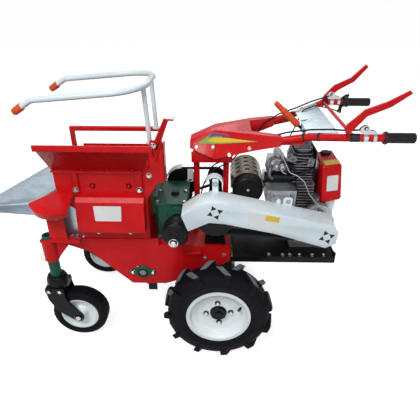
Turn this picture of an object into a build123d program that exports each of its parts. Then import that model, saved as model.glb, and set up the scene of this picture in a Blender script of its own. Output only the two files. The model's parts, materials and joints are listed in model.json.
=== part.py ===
"""Walk-behind single-row corn harvester, in millimetres.

X runs to the rear (handlebar), Y to the machine's right, Z up from the ground.
"""
from build123d import *
import os
from math import cos, hypot, radians, sin, sqrt, tan

os.makedirs("parts", exist_ok=True)

# Stance: the drive axle and the casters
axle_x = 280.0
track = 670.0
tyre_r = 233.0
tyre_width = 112.0
carcass_r = 217.0
rim_r = 127.0
rim_flange_r = 136.0
rim_width = 100.0
lug_count = 11
lug_width = 20.0
lug_sweep = 40.0
wheel_disc = 5.0
wheel_disc_out = 16.0
hub_bore_r = 22.0
hub_flange_r = 50.0
hub_flange = 10.0
shaft_r = 17.0
axle_tube_r = 30.0
case_long = 120.0
case_r = 82.0
case_wide = 150.0
wheel_gap = 17.0
axle_tube_end = track / 2 - wheel_gap
shaft_seat = 130.0

caster_x = -360.0
caster_y = 233.0
caster_r = 125.0
caster_width = 76.0
caster_rim_r = 82.0
caster_trail = 82.0
caster_pin_r = 8.0
caster_hub = 80.0
fork_gap = 92.0
fork_plate = 8.0
crown_bottom = 268.0
crown_plate = 22.0
stem_r = 14.0
stem_length = 95.0
stem_tube_r = 24.0
stem_tube_top = 520.0

# Clearances
running_gap = 0.05
fit_gap = 0.1
face_gap = 0.3
shaft_clear = 5.0

# Chassis and header
side_y = 200.0
plate = 5.0
deck_top = 470.0
deck_plate = 10.0
deck_rear = 330.0
wall_top = 825.0
header_front = -380.0
header_back_x = -20.0
back_depth = 40.0
back_top = 955.0
cover_front = -300.0
throat = 60.0
roll_slope = 18.9
roll_y = 46.0
roll_core_r = 34.0
roll_rib_r = 42.0
roll_ribs = 6
roll_shaft_r = 15.0
roll_start = 100.0
roll_body = 250.0
roll_nose = 80.0
roll_rear_z = 625.0
strip_rise = 66.0
chopper_x = -60.0
chopper_z = 330.0
chopper_r = 125.0
chopper_drum_r = 30.0
chopper_shaft_r = 15.0
bearing_r = 34.0
bearing_span = 90.0
bearing_ear = 30.0
bearing_flange = 8.0
bearing_depth = 14.0
flail_width = 40.0
flail_plate = 7.0

# Hopper, dividers and decks
hopper_rise = 143.0
hopper_flare = 120.0
hopper_rear = 40.0
rim_drop = 22.0
sheet = 4.0
divider_tip = -970.0
divider_floor = 470.0
stalk_deck_z = 732.0
stalk_deck_tilt = 15.0
stalk_deck_rim = 28.0

# Guide loop
loop_y = 187.0
loop_r = 13.0
loop_rear = 0.0
post_y = 95.0
post_r = 10.0

# Drive train
gearbox_front = 24.0
gearbox_length = 122.0
gearbox_left = -150.0
gearbox_right = 80.0
gearbox_top = 650.0
clutch_x = 102.0
clutch_z = 600.0
jack_x = 262.0
jack_z = 660.0
crank_x = 702.0
crank_z = 590.0
belt_y = -268.0
belt_width = 40.0
belt_plate = 9.0
jack_r = 70.0
jack_shaft_r = 16.0
far_pulley = 30.0
far_jack_r = 34.0
groove_lip = 8.0
crank_pulley_r = 34.0
clutch_r = 52.0
guard_face = -303.0
guard_depth = 100.0
guard_sheet = 3.0

# Engine
bed_top = 416.0
bed_plate = 6.0
bed_front = 230.0
bed_rear = 783.0
bed_beam = 25.0
bed_wall = 4.0
beam_width = 32.0
engine_left = -120.0
engine_right = 110.0
case_front = 480.0
case_rear = 604.0
case_top = 700.0
cylinder_base = 598.0
cylinder_top = 728.0
cylinder_x = 642.0
fin_pitch = 13.0
fin_plate = 5.0
fin_count = 10
duct_top = 736.0
intake_r = 30.0
muffler_x = 401.0
muffler_z = 681.0
muffler_r = 66.0
muffler_left = -90.0
muffler_length = 255.0
shield_gap = 5.0
shield_sheet = 2.5
exhaust_r = 16.0
tank_left = -100.0
tank_right = 25.0

# Handle
post_side = 26.0
base_front = 159.0
base_rear = 332.0
base_half = 60.0
base_wall = 8.0
base_rise = 48.0
handle_base_z = 800.0
bar_r = 14.0
grip_r = 18.5
grip_length = 105.0
bar_end = 970.0
bar_y = 250.0
bar_z = handle_base_z + 180

SIDES = ((-1, "left"), (1, "right"))


def save(builder, label):
    """Name a finished piece and write it."""
    builder.part.label = label
    export_step(builder.part, f"parts/{label}.step")


def side_plane(y, side=1):
    """A plane that stands along the machine: sketch X is X, sketch Y is Z, normal to the outside."""
    if side > 0:
        return Plane(origin=(0, y, 0), x_dir=(-1, 0, 0), z_dir=(0, 1, 0))
    return Plane(origin=(0, y, 0), x_dir=(1, 0, 0), z_dir=(0, -1, 0))


def side_points(points, side):
    """Points (X, Z) as sketch points of side_plane."""
    return [(-x, z) if side > 0 else (x, z) for x, z in points]


def wheel_plane(x, y, z, side):
    """A radial plane of a wheel: sketch X is outboard, sketch Y is up."""
    return Plane(origin=(x, y, z), x_dir=(0, side, 0), z_dir=(side, 0, 0))


def round_bar(route, bends, radius):
    """A round bar along straight runs joined by arcs."""
    with BuildPart() as bar:
        with BuildLine() as path:
            if len(route) > 2:
                FilletPolyline(*route, radius=bends)
            else:
                Line(*route)
        with BuildSketch(Plane(origin=path.line @ 0, z_dir=path.line % 0)):
            Circle(radius)
        sweep()
    return bar.part


# Drive wheels
for side, name in SIDES:
    wheel_y = side * track / 2
    axle = Axis((axle_x, wheel_y, tyre_r), (0, 1, 0))
    radial = wheel_plane(axle_x, wheel_y, tyre_r, side)
    half = tyre_width / 2

    with BuildPart() as tyre:
        with BuildSketch(radial):
            with BuildLine():
                wall = carcass_r - rim_r
                Polyline(
                    (0, rim_r + fit_gap),
                    (rim_width / 2 - 14, rim_r + fit_gap),
                    (half - 6, rim_r + wall * 0.3),
                    (half - 1, rim_r + wall * 0.55),
                    (half - 6, rim_r + wall * 0.85),
                    (half - 22, carcass_r - 3),
                    (0, carcass_r),
                )
                mirror(about=Plane.YZ)
            make_face()
        revolve(axis=axle)
        for index in range(lug_count):
            for arm in (1, -1):
                turn = -90 + 360 / lug_count * (index + (0.5 if arm < 0 else 0))
                out = Vector(cos(radians(turn)), 0, sin(radians(turn)))
                seat = Vector(axle_x, wheel_y, tyre_r) + out * (carcass_r - 16)
                with BuildSketch(Plane(origin=seat, x_dir=(0, arm, 0), z_dir=out)):
                    lean = lug_sweep * arm
                    Polygon(
                        (-4, -lug_width / 2),
                        (half, -lug_width / 2 - lean),
                        (half, lug_width / 2 - lean),
                        (-4, lug_width / 2),
                        align=None,
                    )
                extrude(amount=tyre_r)
        with BuildSketch(Plane(origin=(axle_x, wheel_y - half, tyre_r), z_dir=(0, 1, 0))):
            Circle(tyre_r)
        extrude(amount=tyre_width, mode=Mode.INTERSECT)
    save(tyre, f"drive_tyre_{name}")

    lip = rim_width / 2
    disc_in = wheel_disc_out - wheel_disc
    with BuildPart() as rim:
        with BuildSketch(radial):
            Polygon(
                (-lip, rim_flange_r),
                (4 - lip, rim_flange_r),
                (4 - lip, rim_r),
                (lip - 4, rim_r),
                (lip - 4, rim_flange_r),
                (lip, rim_flange_r),
                (lip, rim_r - 5),
                (lip - 14, rim_r - 12),
                (wheel_disc_out + 6, rim_r - 36),
                (wheel_disc_out, hub_flange_r + 14),
                (wheel_disc_out, hub_bore_r),
                (disc_in, hub_bore_r),
                (disc_in, hub_flange_r + 16),
                (disc_in + 6, rim_r - 33),
                (lip - 20, rim_r - 8),
                (-lip, rim_r - 5),
                align=None,
            )
        revolve(axis=axle)
    save(rim, f"drive_rim_{name}")

    shaft_in = axle_tube_end - shaft_seat - track / 2
    with BuildPart() as hub:
        with BuildSketch(radial):
            Polygon(
                (shaft_in, 0),
                (shaft_in, shaft_r),
                (disc_in - hub_flange, shaft_r),
                (disc_in - hub_flange, hub_flange_r),
                (disc_in, hub_flange_r),
                (disc_in, hub_bore_r - fit_gap),
                (wheel_disc_out + 8, hub_bore_r - fit_gap),
                (wheel_disc_out + 12, hub_bore_r - 5),
                (wheel_disc_out + 12, 0),
                align=None,
            )
        revolve(axis=axle)
    save(hub, f"drive_hub_{name}")

with BuildPart() as axle_case:
    with BuildSketch(Plane.XZ.offset(-case_wide / 2)):
        with Locations((axle_x, tyre_r)):
            Circle(case_r)
        with Locations((axle_x, (tyre_r + deck_top - deck_plate) / 2)):
            Rectangle(case_long, deck_top - deck_plate - tyre_r)
    extrude(amount=case_wide)
    chamfer(axle_case.edges().filter_by(GeomType.CIRCLE), 8)
    with BuildSketch(Plane.XZ.offset(-axle_tube_end)):
        with Locations((axle_x, tyre_r)):
            Circle(axle_tube_r)
    extrude(amount=2 * axle_tube_end)
    for side, name in SIDES:
        end = Plane(origin=(axle_x, side * axle_tube_end, tyre_r), z_dir=(0, -side, 0))
        with BuildSketch(end):
            Circle(shaft_r + running_gap)
        extrude(amount=shaft_seat + 4, mode=Mode.SUBTRACT)
save(axle_case, "axle_case")

# Casters
stem_x = caster_x - caster_trail
crown_top = crown_bottom + crown_plate
for side, name in SIDES:
    wheel_y = side * caster_y
    axle = Axis((caster_x, wheel_y, caster_r), (0, 1, 0))
    radial = wheel_plane(caster_x, wheel_y, caster_r, side)
    half = caster_width / 2

    with BuildPart() as tyre:
        with BuildSketch(radial):
            with BuildLine():
                wall = caster_r - caster_rim_r
                Polyline(
                    (0, caster_rim_r + fit_gap),
                    (26, caster_rim_r + fit_gap),
                    (half - 3, caster_rim_r + wall * 0.25),
                    (half, caster_rim_r + wall * 0.5),
                    (half - 3, caster_rim_r + wall * 0.8),
                    (half - 14, caster_r),
                    (0, caster_r),
                )
                mirror(about=Plane.YZ)
            make_face()
        revolve(axis=axle)
    save(tyre, f"caster_tyre_{name}")

    with BuildPart() as rim:
        with BuildSketch(radial):
            with BuildLine():
                Polyline(
                    (0, caster_rim_r),
                    (26, caster_rim_r),
                    (32, caster_rim_r + 3),
                    (32, caster_rim_r - 4),
                    (12, caster_rim_r - 14),
                    (8, 34),
                    (caster_hub / 2, 20),
                    (caster_hub / 2, caster_pin_r + running_gap),
                    (0, caster_pin_r + running_gap),
                )
                mirror(about=Plane.YZ)
            make_face()
        revolve(axis=axle)
    save(rim, f"caster_rim_{name}")

    with BuildPart() as fork:
        with BuildSketch(Plane.XY.offset(crown_bottom)):
            with Locations(((stem_x + caster_x) / 2, wheel_y)):
                SlotCenterToCenter(caster_trail, fork_gap + 2 * fork_plate)
        extrude(amount=crown_plate)
        with BuildSketch(Plane.XY.offset(crown_top)):
            with Locations((stem_x, wheel_y)):
                Circle(stem_r)
        extrude(amount=stem_length)
        for cheek in (-1, 1):
            inner = wheel_y + cheek * fork_gap / 2
            with BuildSketch(side_plane(inner, cheek)):
                foot = side_points([(caster_x, caster_r)], cheek)[0]
                arm = [(stem_x + 30, crown_bottom + 4), (caster_x + 24, crown_bottom + 4)]
                arm += [(caster_x + 17, caster_r), (caster_x - 17, caster_r)]
                Polygon(*side_points(arm, cheek), align=None)
                with Locations(foot):
                    Circle(17)
            extrude(amount=fork_plate)
        pin_end = fork_gap / 2 + fork_plate + 6
        with BuildSketch(Plane(origin=(caster_x, wheel_y - pin_end, caster_r), z_dir=(0, 1, 0))):
            Circle(caster_pin_r)
        extrude(amount=2 * pin_end)
    save(fork, f"caster_fork_{name}")

with BuildPart() as stem_tubes:
    with BuildSketch(Plane.XY.offset(crown_top + face_gap)):
        with Locations(*[(stem_x, side * caster_y) for side, name in SIDES]):
            Circle(stem_tube_r)
            Circle(stem_r + running_gap, mode=Mode.SUBTRACT)
    extrude(amount=stem_tube_top - crown_top - face_gap)
save(stem_tubes, "caster_tubes")

# Pointed stalk decks over the casters, and the brackets that carry them and the stem tubes


def stalk_deck_plane(side):
    """The tilted top of a stalk deck, from the header's front corner: sketch Y points inboard or outboard."""
    tilt = radians(stalk_deck_tilt)
    up = (0, side * sin(tilt), cos(tilt))
    return Plane(origin=(header_front, side * side_y, stalk_deck_z), x_dir=(1, 0, 0), z_dir=up)


def stalk_deck(side):
    """A pointed deck with a rim folded down along its round outer edge."""
    top = stalk_deck_plane(side)
    tip = (-86, side * 75)
    heel = (75, side * 116)
    bulge = (5, side * 136)
    with BuildPart() as deck:
        with BuildSketch(top):
            with BuildLine():
                Polyline(tip, (0, side * 3), (75, side * 3), heel)
                ThreePointArc(heel, bulge, tip)
            make_face()
        extrude(amount=-sheet)
        with BuildSketch(top):
            with BuildLine():
                ThreePointArc(heel, bulge, tip)
            trace(line_width=sheet)
        extrude(amount=-stalk_deck_rim)
    return deck.part


def caster_bracket(side):
    """Clamp sleeve, arm to the chassis side and an upright under the stalk deck."""
    with BuildPart() as bracket:
        upright = [(-425, 452), (-352, 452), (-352, 760), (-425, 760)]
        with BuildSketch(side_plane(side * (caster_y + 12), side)):
            Polygon(*side_points(upright, side), align=None)
        extrude(amount=6)
        split(bisect_by=stalk_deck_plane(side).offset(-sheet), keep=Keep.BOTTOM)
        arm_front = stem_x - 25
        with BuildSketch(Plane.XY.offset(452)):
            with Locations(((arm_front + cover_front) / 2, side * (side_y + 30))):
                Rectangle(cover_front - arm_front, 60)
        extrude(amount=9)
        with BuildSketch(Plane.XY.offset(385)):
            with Locations((stem_x, side * caster_y)):
                Circle(stem_tube_r + 11)
        extrude(amount=76)
        gusset = [(stem_x, 395), (stem_x + 130, 456), (stem_x, 456)]
        with BuildSketch(side_plane(side * (side_y + 18), side)):
            Polygon(*side_points(gusset, side), align=None)
        extrude(amount=8)
        with Locations((stem_x, side * caster_y, stem_tube_top / 2)):
            Cylinder(stem_tube_r + fit_gap, stem_tube_top + 4, mode=Mode.SUBTRACT)
    return bracket.part


with BuildPart() as stalk_decks:
    for side, name in SIDES:
        add(stalk_deck(side))
save(stalk_decks, "stalk_decks")

with BuildPart() as brackets:
    for side, name in SIDES:
        add(caster_bracket(side))
save(brackets, "caster_brackets")

# Chassis side plates and the chopper's flange bearings
wall_in = side_y - plate
chassis_edge = [
    # X, Z round a side plate
    (header_front - 5, deck_top),
    (-278, 431),
    (-113, 262),
    (40, 262),
    (200, 320),
    (deck_rear, 395),
    (deck_rear, deck_top),
]
with BuildPart() as chassis_sides:
    for side, name in SIDES:
        with BuildSketch(side_plane(side * wall_in, side)):
            Polygon(*side_points(chassis_edge, side), align=None)
            with Locations(side_points([(chopper_x, chopper_z)], side)[0]):
                Circle(chopper_shaft_r + shaft_clear, mode=Mode.SUBTRACT)
        extrude(amount=plate)
save(chassis_sides, "chassis_sides")

with BuildPart() as bearings:
    for side, name in SIDES:
        with BuildSketch(side_plane(side * side_y, side)):
            with Locations(side_points([(chopper_x, chopper_z)], side)[0]):
                SlotCenterToCenter(bearing_span, bearing_ear)
                Circle(bearing_r)
                Circle(chopper_shaft_r + running_gap, mode=Mode.SUBTRACT)
        extrude(amount=bearing_flange)
        with BuildSketch(side_plane(side * (side_y + bearing_flange), side)):
            with Locations(side_points([(chopper_x, chopper_z)], side)[0]):
                Circle(bearing_r - 6)
                Circle(chopper_shaft_r + running_gap, mode=Mode.SUBTRACT)
        extrude(amount=bearing_depth - bearing_flange, taper=15)
save(bearings, "chopper_bearings")

with BuildPart() as chassis_deck:
    inner_width = 2 * wall_in
    with Locations(((header_back_x + deck_rear) / 2, 0, deck_top - deck_plate / 2)):
        Box(deck_rear - header_back_x, inner_width, deck_plate)
save(chassis_deck, "chassis_deck")

with BuildPart() as chopper:
    spindle = Plane.XZ.offset(-side_y - 12)
    with BuildSketch(spindle):
        with Locations((chopper_x, chopper_z)):
            Circle(chopper_shaft_r)
    extrude(amount=2 * (side_y + 12))
    with BuildSketch(Plane.XZ.offset(-170)):
        with Locations((chopper_x, chopper_z)):
            Circle(chopper_drum_r)
    extrude(amount=340)
    flails = [
        # turn in degrees, middle along the drum
        (-90, -125), (-90, 0), (-90, 125),
        (0, -62), (0, 62), (180, -62), (180, 62),
        (90, -125), (90, 0), (90, 125),
    ]
    for turn, along in flails:
        out = Vector(cos(radians(turn)), 0, sin(radians(turn)))
        root = Vector(chopper_x, along, chopper_z) + out * (chopper_drum_r - 6)
        with BuildSketch(Plane(origin=root, x_dir=(0, 1, 0), z_dir=out)):
            Rectangle(flail_width, flail_plate)
        extrude(amount=chopper_r - chopper_drum_r - 4)
        foot = Vector(chopper_x, along, chopper_z) + out * (chopper_r - 14)
        with BuildSketch(Plane(origin=foot, x_dir=(0, 1, 0), z_dir=out)):
            with Locations((0, 10)):
                Rectangle(flail_width, 26)
        extrude(amount=8)
save(chopper, "chopper_rotor")

# Header walls, back channel and strip plates beside the throat
corner_top = 690.0
corner_rear = 640.0
wall_edge = [
    # X, Z round a header wall
    (cover_front, deck_top),
    (header_back_x, deck_top),
    (header_back_x, wall_top),
    (header_front, wall_top),
    (header_front, corner_top),
    (cover_front, corner_rear),
]
with BuildPart() as header_sides:
    for side, name in SIDES:
        with BuildSketch(side_plane(side * wall_in, side)):
            Polygon(*side_points(wall_edge, side), align=None)
        extrude(amount=plate)
save(header_sides, "header_sides")

with BuildPart() as header_back:
    tall = back_top - deck_top
    with Locations((header_back_x + back_depth / 2, 0, deck_top + tall / 2)):
        Box(back_depth, 2 * side_y, tall)
    with Locations((header_back_x + back_depth / 2 - plate, 0, deck_top + tall / 2)):
        Box(back_depth, 2 * (side_y - plate), tall - 2 * plate, mode=Mode.SUBTRACT)
save(header_back, "header_back")

slope = radians(roll_slope)
along_roll = Vector(-cos(slope), 0, -sin(slope))
strip_front = header_front - 4
strip_drop = (header_back_x - strip_front) * tan(slope)
strip_top_z = roll_rear_z + strip_rise
with BuildPart() as strip_plates:
    for side, name in SIDES:
        with BuildSketch(Plane.XZ.offset(-side * throat / 2)):
            Polygon(
                (header_back_x, strip_top_z),
                (strip_front, strip_top_z - strip_drop),
                (strip_front, strip_top_z - strip_drop - sheet),
                (header_back_x, strip_top_z - sheet),
                align=None,
            )
        extrude(amount=-side * (wall_in - throat / 2))
save(strip_plates, "strip_plates")

with BuildPart() as roll_box:
    box_length = 70 + back_depth - plate
    with Locations((header_back_x - 70 + box_length / 2, 0, 605)):
        Box(box_length, 190, 90)
    fillet(roll_box.edges().filter_by(Axis.X), 14)
    for side, name in SIDES:
        rear = Plane(origin=(header_back_x, side * roll_y, roll_rear_z), z_dir=along_roll)
        with BuildSketch(rear.offset(20)):
            Circle(roll_shaft_r + running_gap)
        extrude(amount=80, mode=Mode.SUBTRACT)
save(roll_box, "roll_drive_box")

for side, name in SIDES:
    rear = Plane(origin=(header_back_x, side * roll_y, roll_rear_z), x_dir=(0, 1, 0), z_dir=along_roll)
    with BuildPart() as roll:
        with BuildSketch(rear.offset(26)):
            Circle(roll_shaft_r)
        extrude(amount=roll_start - 20)
        with BuildSketch(rear.offset(roll_start)):
            Circle(roll_core_r)
            with PolarLocations(roll_core_r - 2, roll_ribs, start_angle=90 / roll_ribs * (1 + side)):
                Rectangle(2 * (roll_rib_r - roll_core_r) + 3, 10)
        extrude(amount=roll_body)
        with BuildSketch(rear.offset(roll_start + roll_body)):
            Circle(roll_core_r)
        with BuildSketch(rear.offset(roll_start + roll_body + roll_nose)):
            Circle(8)
        loft()
    save(roll, f"snap_roll_{name}")

# Left hopper: flared panel with a folded rim and two ribs
with BuildPart() as hopper:
    lean = hypot(hopper_flare, hopper_rise)
    flare = Plane(
        origin=(0, -side_y, wall_top),
        x_dir=(1, 0, 0),
        z_dir=(0, -hopper_rise / lean, -hopper_flare / lean),
    )
    upward = 1 if flare.y_dir.Z > 0 else -1
    with BuildSketch(flare):
        Polygon(
            (header_front, 0),
            (header_back_x, 0),
            (hopper_rear, upward * lean),
            (header_front, upward * lean),
            align=None,
        )
    extrude(amount=sheet)
    rim_x = (header_front + hopper_rear) / 2
    rim_mid = (rim_x, -side_y - hopper_flare, wall_top + hopper_rise - rim_drop / 2)
    with Locations(rim_mid):
        Box(hopper_rear - header_front, 2 * sheet, rim_drop)
    with Locations(((header_front + header_back_x) / 2, -side_y - 9, wall_top - 3)):
        Box(header_back_x - header_front, 18, 6)
    for rib_x in (cover_front + 5, header_back_x - 20):
        with Locations((rib_x, -side_y - 6, wall_top - 43)):
            Box(26, 12, 86)
save(hopper, "hopper_panel")

with BuildPart() as rail:
    rail_side = 20.0
    rail_y = 140.0
    rail_top = 908.0
    rail_rear = header_back_x + back_depth - plate
    strip_top = Plane(origin=(header_back_x, 0, strip_top_z), z_dir=(-sin(slope), 0, cos(slope)))
    with Locations((header_front + rail_side / 2, rail_y, rail_top / 2)):
        Box(rail_side, rail_side, rail_top)
    split(bisect_by=strip_top, keep=Keep.TOP)
    with Locations(((header_front + rail_rear) / 2, rail_y, rail_top - rail_side / 2)):
        Box(rail_rear - header_front, rail_side, rail_side)
save(rail, "guard_rail")

cover_section = [(side_y, 738), (side_y + 26, 738), (side_y + 44, 712), (side_y + 70, 530), (side_y, 530)]
cover_hollow = [(side_y, 734), (side_y + 24, 734), (side_y + 40, 711), (side_y + 65, 534), (side_y, 534)]
cover_length = header_back_x - cover_front
with BuildPart() as covers:
    for side, name in SIDES:
        cross = Plane(origin=(cover_front, 0, 0), x_dir=(0, 1, 0), z_dir=(1, 0, 0))
        with BuildSketch(cross):
            Polygon(*[(side * y, z) for y, z in cover_section], align=None)
        extrude(amount=cover_length)
        with BuildSketch(cross.offset(sheet)):
            Polygon(*[(side * y, z) for y, z in cover_hollow], align=None)
        extrude(amount=cover_length - 2 * sheet, mode=Mode.SUBTRACT)
save(covers, "side_covers")


def divider(side, stations):
    """A folded sheet trough: floor, round corner, outer wall and a flange along its top.

    Station columns: X, inner edge Y, wall Y, floor Z, wall top Z, corner radius, flange width.
    """
    with BuildPart() as trough:
        for x, edge_y, wall_y, floor_z, top_z, corner, flange in stations:
            with BuildSketch(Plane(origin=(x, 0, 0), x_dir=(0, 1, 0), z_dir=(1, 0, 0))):
                with BuildLine():
                    inner = corner
                    outer = corner + sheet
                    bend = wall_y - corner
                    knee = floor_z + corner
                    slant = sqrt(0.5)
                    a = (side * edge_y, floor_z)
                    b = (side * bend, floor_z)
                    c = (side * wall_y, knee)
                    d = (side * wall_y, top_z)
                    e = (side * (wall_y + flange), top_z)
                    f = (side * (wall_y + flange), top_z - sheet)
                    g = (side * (wall_y + sheet), top_z - sheet)
                    h = (side * (wall_y + sheet), knee)
                    i = (side * bend, floor_z - sheet)
                    j = (side * edge_y, floor_z - sheet)
                    Line(a, b)
                    ThreePointArc(b, (side * (bend + inner * slant), knee - inner * slant), c)
                    Polyline(c, d, e, f, g, h)
                    ThreePointArc(h, (side * (bend + outer * slant), knee - outer * slant), i)
                    Polyline(i, j, a)
                make_face()
        loft(ruled=True)
    return trough.part


with BuildPart() as long_divider:
    add(divider(1, [
        (header_front - 5, 25, wall_in - sheet, divider_floor, 772, 55, 14),
        (divider_tip + 40, 100, 142, divider_floor - 8, divider_floor + 8, 6, 8),
        (divider_tip, 116, 130, divider_floor - 12, divider_floor - 2, 2, 6),
    ]))
    with Locations((header_front + 20, wall_in - sheet / 2, 730)):
        Box(52, sheet, 70)
save(long_divider, "divider_right")

with BuildPart() as short_divider:
    add(divider(-1, [
        (header_front - 5, 40, wall_in - sheet, 606, 736, 30, 16),
        (-508, 90, 180, 622, 668, 20, 16),
    ]))
    with Locations((header_front + 20, sheet / 2 - wall_in, 660)):
        Box(52, sheet, 44)
    cheek = [(header_front, deck_top), (cover_front, deck_top)]
    cheek += [(cover_front, corner_rear), (header_front, corner_top)]
    with BuildSketch(side_plane(-wall_in, -1)):
        Polygon(*side_points(cheek, -1), align=None)
    extrude(amount=plate)
save(short_divider, "divider_left")

# Guide loop with its posts and end caps
loop_route = [
    (-481, -loop_y, 1047),
    (-412, -loop_y, 1091),
    (loop_rear, -loop_y, 1126),
    (loop_rear, loop_y, 1126),
    (-412, loop_y, 1091),
    (-481, loop_y, 1047),
]
cap_length = 44.0
with BuildPart() as guide_loop:
    add(round_bar(loop_route, [45, 130, 130, 45], loop_r))
    for side, name in SIDES:
        with BuildSketch(Plane(origin=(loop_rear - 6, side * post_y, back_top), z_dir=(0, 0, 1))):
            Circle(post_r)
        extrude(amount=1126 - back_top)
save(guide_loop, "guide_loop")

with BuildPart() as caps:
    for side, name in SIDES:
        start = Vector(-481, side * loop_y, 1047)
        inward = (Vector(-412, side * loop_y, 1091) - start).normalized()
        with BuildSketch(Plane(origin=start - inward * 6, z_dir=inward)):
            Circle(loop_r + 4)
        extrude(amount=cap_length + 6)
        with BuildSketch(Plane(origin=start, z_dir=inward)):
            Circle(loop_r + fit_gap)
        extrude(amount=cap_length, mode=Mode.SUBTRACT)
    chamfer(caps.faces().sort_by(Axis.X)[:2].edges(), 5)
save(caps, "guide_caps")

with BuildPart() as latch:
    channel = [(-8, 880), (20, 880), (76, 1042), (62, 1048), (-8, 950)]
    with BuildSketch(side_plane(-side_y, -1)):
        Polygon(*channel, align=None)
    extrude(amount=14)
    with BuildSketch(Plane(origin=(69, -side_y - 7, 1040), z_dir=(1, 0, 0.1))):
        Circle(4)
    extrude(amount=40)
save(latch, "latch_lever")

# Gearbox, pulleys, belts and guards
with BuildPart() as gearbox:
    wide = gearbox_right - gearbox_left
    middle_y = (gearbox_left + gearbox_right) / 2
    middle_x = gearbox_front + gearbox_length / 2
    with Locations((middle_x, middle_y, (deck_top + gearbox_top - 8) / 2)):
        Box(gearbox_length - 12, wide - 12, gearbox_top - 8 - deck_top)
    fillet(gearbox.edges().filter_by(Axis.Z), 12)
    with Locations((middle_x, middle_y, gearbox_top - 6)):
        Box(gearbox_length, wide, 12)
    with Locations((middle_x, middle_y, deck_top + 6)):
        Box(gearbox_length, wide, 12)
    with Locations((middle_x, middle_y - 20, gearbox_top + 6)):
        Box(26, 26, 12)
    with BuildSketch(Plane(origin=(clutch_x, gearbox_left + 10, clutch_z), z_dir=(0, -1, 0))):
        Circle(36)
    extrude(amount=40)
    with BuildSketch(Plane(origin=(clutch_x, gearbox_right - 10, clutch_z), z_dir=(0, 1, 0))):
        Circle(36)
    extrude(amount=34)
save(gearbox, "gearbox")


def pulley(x, z, near_y, width, radius, flange):
    """A flat-bottomed belt pulley on an axis along Y, from near_y to near_y + width."""
    with BuildPart() as wheel:
        with BuildSketch(wheel_plane(x, near_y, z, 1)):
            Polygon(
                (0, 0),
                (0, radius + flange),
                (groove_lip - 3, radius + flange),
                (groove_lip, radius),
                (width - groove_lip, radius),
                (width - groove_lip + 3, radius + flange),
                (width, radius + flange),
                (width, 0),
                align=None,
            )
        revolve(axis=Axis((x, near_y, z), (0, 1, 0)))
    return wheel.part


belt_near = belt_y - belt_width / 2 - 9
with BuildPart() as clutch:
    add(pulley(clutch_x, clutch_z, belt_near, belt_width + 18, clutch_r, 8))
    with BuildSketch(Plane(origin=(clutch_x, gearbox_left - 30, clutch_z), z_dir=(0, -1, 0))):
        Circle(20)
    extrude(amount=gearbox_left - 30 - belt_near - 5)
    with BuildSketch(wheel_plane(clutch_x, belt_near, clutch_z, -1)):
        steps = [(46 - 7 * n, 11 * n) for n in range(4)]
        outline = [(-4, 0)]
        for radius, far in steps:
            outline += [(far - 2, radius), (far + 7, radius), (far + 7, radius - 4)]
        outline += [(58, 14), (58, 0)]
        Polygon(*outline, align=None)
    revolve(axis=Axis((clutch_x, belt_near, clutch_z), (0, 1, 0)))
save(clutch, "clutch_pulley")

far_belt = gearbox_right + 24
with BuildPart() as jackshaft:
    add(pulley(jack_x, jack_z, belt_near, belt_width + 18, jack_r - belt_plate, 12))
    with BuildSketch(Plane(origin=(jack_x, belt_near + 5, jack_z), z_dir=(0, 1, 0))):
        Circle(jack_shaft_r)
    extrude(amount=far_belt + far_pulley + 4 - belt_near)
    add(pulley(jack_x, jack_z, far_belt, far_pulley, far_jack_r, 6))
save(jackshaft, "jackshaft")

roll_drive_x = clutch_x - 2
roll_drive_z = clutch_z + 30
roll_drive_r = 62.0
stand_near = -182.0
stand_plate = 12.0
with BuildPart() as stand:
    for stand_y in (stand_near + stand_plate, 40):
        with BuildSketch(Plane(origin=(0, stand_y, 0), x_dir=(1, 0, 0), z_dir=(0, -1, 0))):
            Polygon(
                (jack_x - 45, deck_top), (jack_x + 45, deck_top),
                (jack_x + 28, jack_z), (jack_x - 28, jack_z), align=None,
            )
            with Locations((jack_x, jack_z)):
                Circle(30)
                Circle(jack_shaft_r + fit_gap, mode=Mode.SUBTRACT)
        extrude(amount=stand_plate)
    with Locations((jack_x, stand_near + stand_plate / 2, 728)):
        Box(30, stand_plate, 80)
save(stand, "jackshaft_stand")

with BuildPart() as pulleys:
    add(pulley(roll_drive_x, roll_drive_z, far_belt, far_pulley, roll_drive_r, 6))
    add(pulley(crank_x, crank_z, belt_near, belt_width + 18, crank_pulley_r - belt_plate, 12))
    with BuildSketch(Plane(origin=(crank_x, belt_near + 5, crank_z), z_dir=(0, 1, 0))):
        Circle(14)
    extrude(amount=engine_left - 30 - belt_near - 5)
save(pulleys, "belt_pulleys")


def belt(near_y, width, first, second):
    """A flat belt round two pulleys. Columns of first and second: X, Z, radius of the pulley."""
    with BuildPart() as loop:
        for thick, mode in ((belt_plate, Mode.ADD), (0, Mode.SUBTRACT)):
            with BuildSketch(Plane(origin=(0, near_y, 0), x_dir=(1, 0, 0), z_dir=(0, -1, 0))):
                for x, z, r in (first, second):
                    with Locations((x, z)):
                        Circle(r + fit_gap + thick)
                make_hull()
            extrude(amount=-width, mode=mode)
    return loop.part


with BuildPart() as drive_belt:
    add(belt(
        belt_y - belt_width / 2,
        belt_width,
        (jack_x, jack_z, jack_r - belt_plate),
        (crank_x, crank_z, crank_pulley_r - belt_plate),
    ))
    add(belt(
        far_belt + groove_lip + fit_gap,
        far_pulley - 2 * (groove_lip + fit_gap),
        (roll_drive_x, roll_drive_z, roll_drive_r),
        (jack_x, jack_z, far_jack_r),
    ))
save(drive_belt, "drive_belt")

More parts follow.
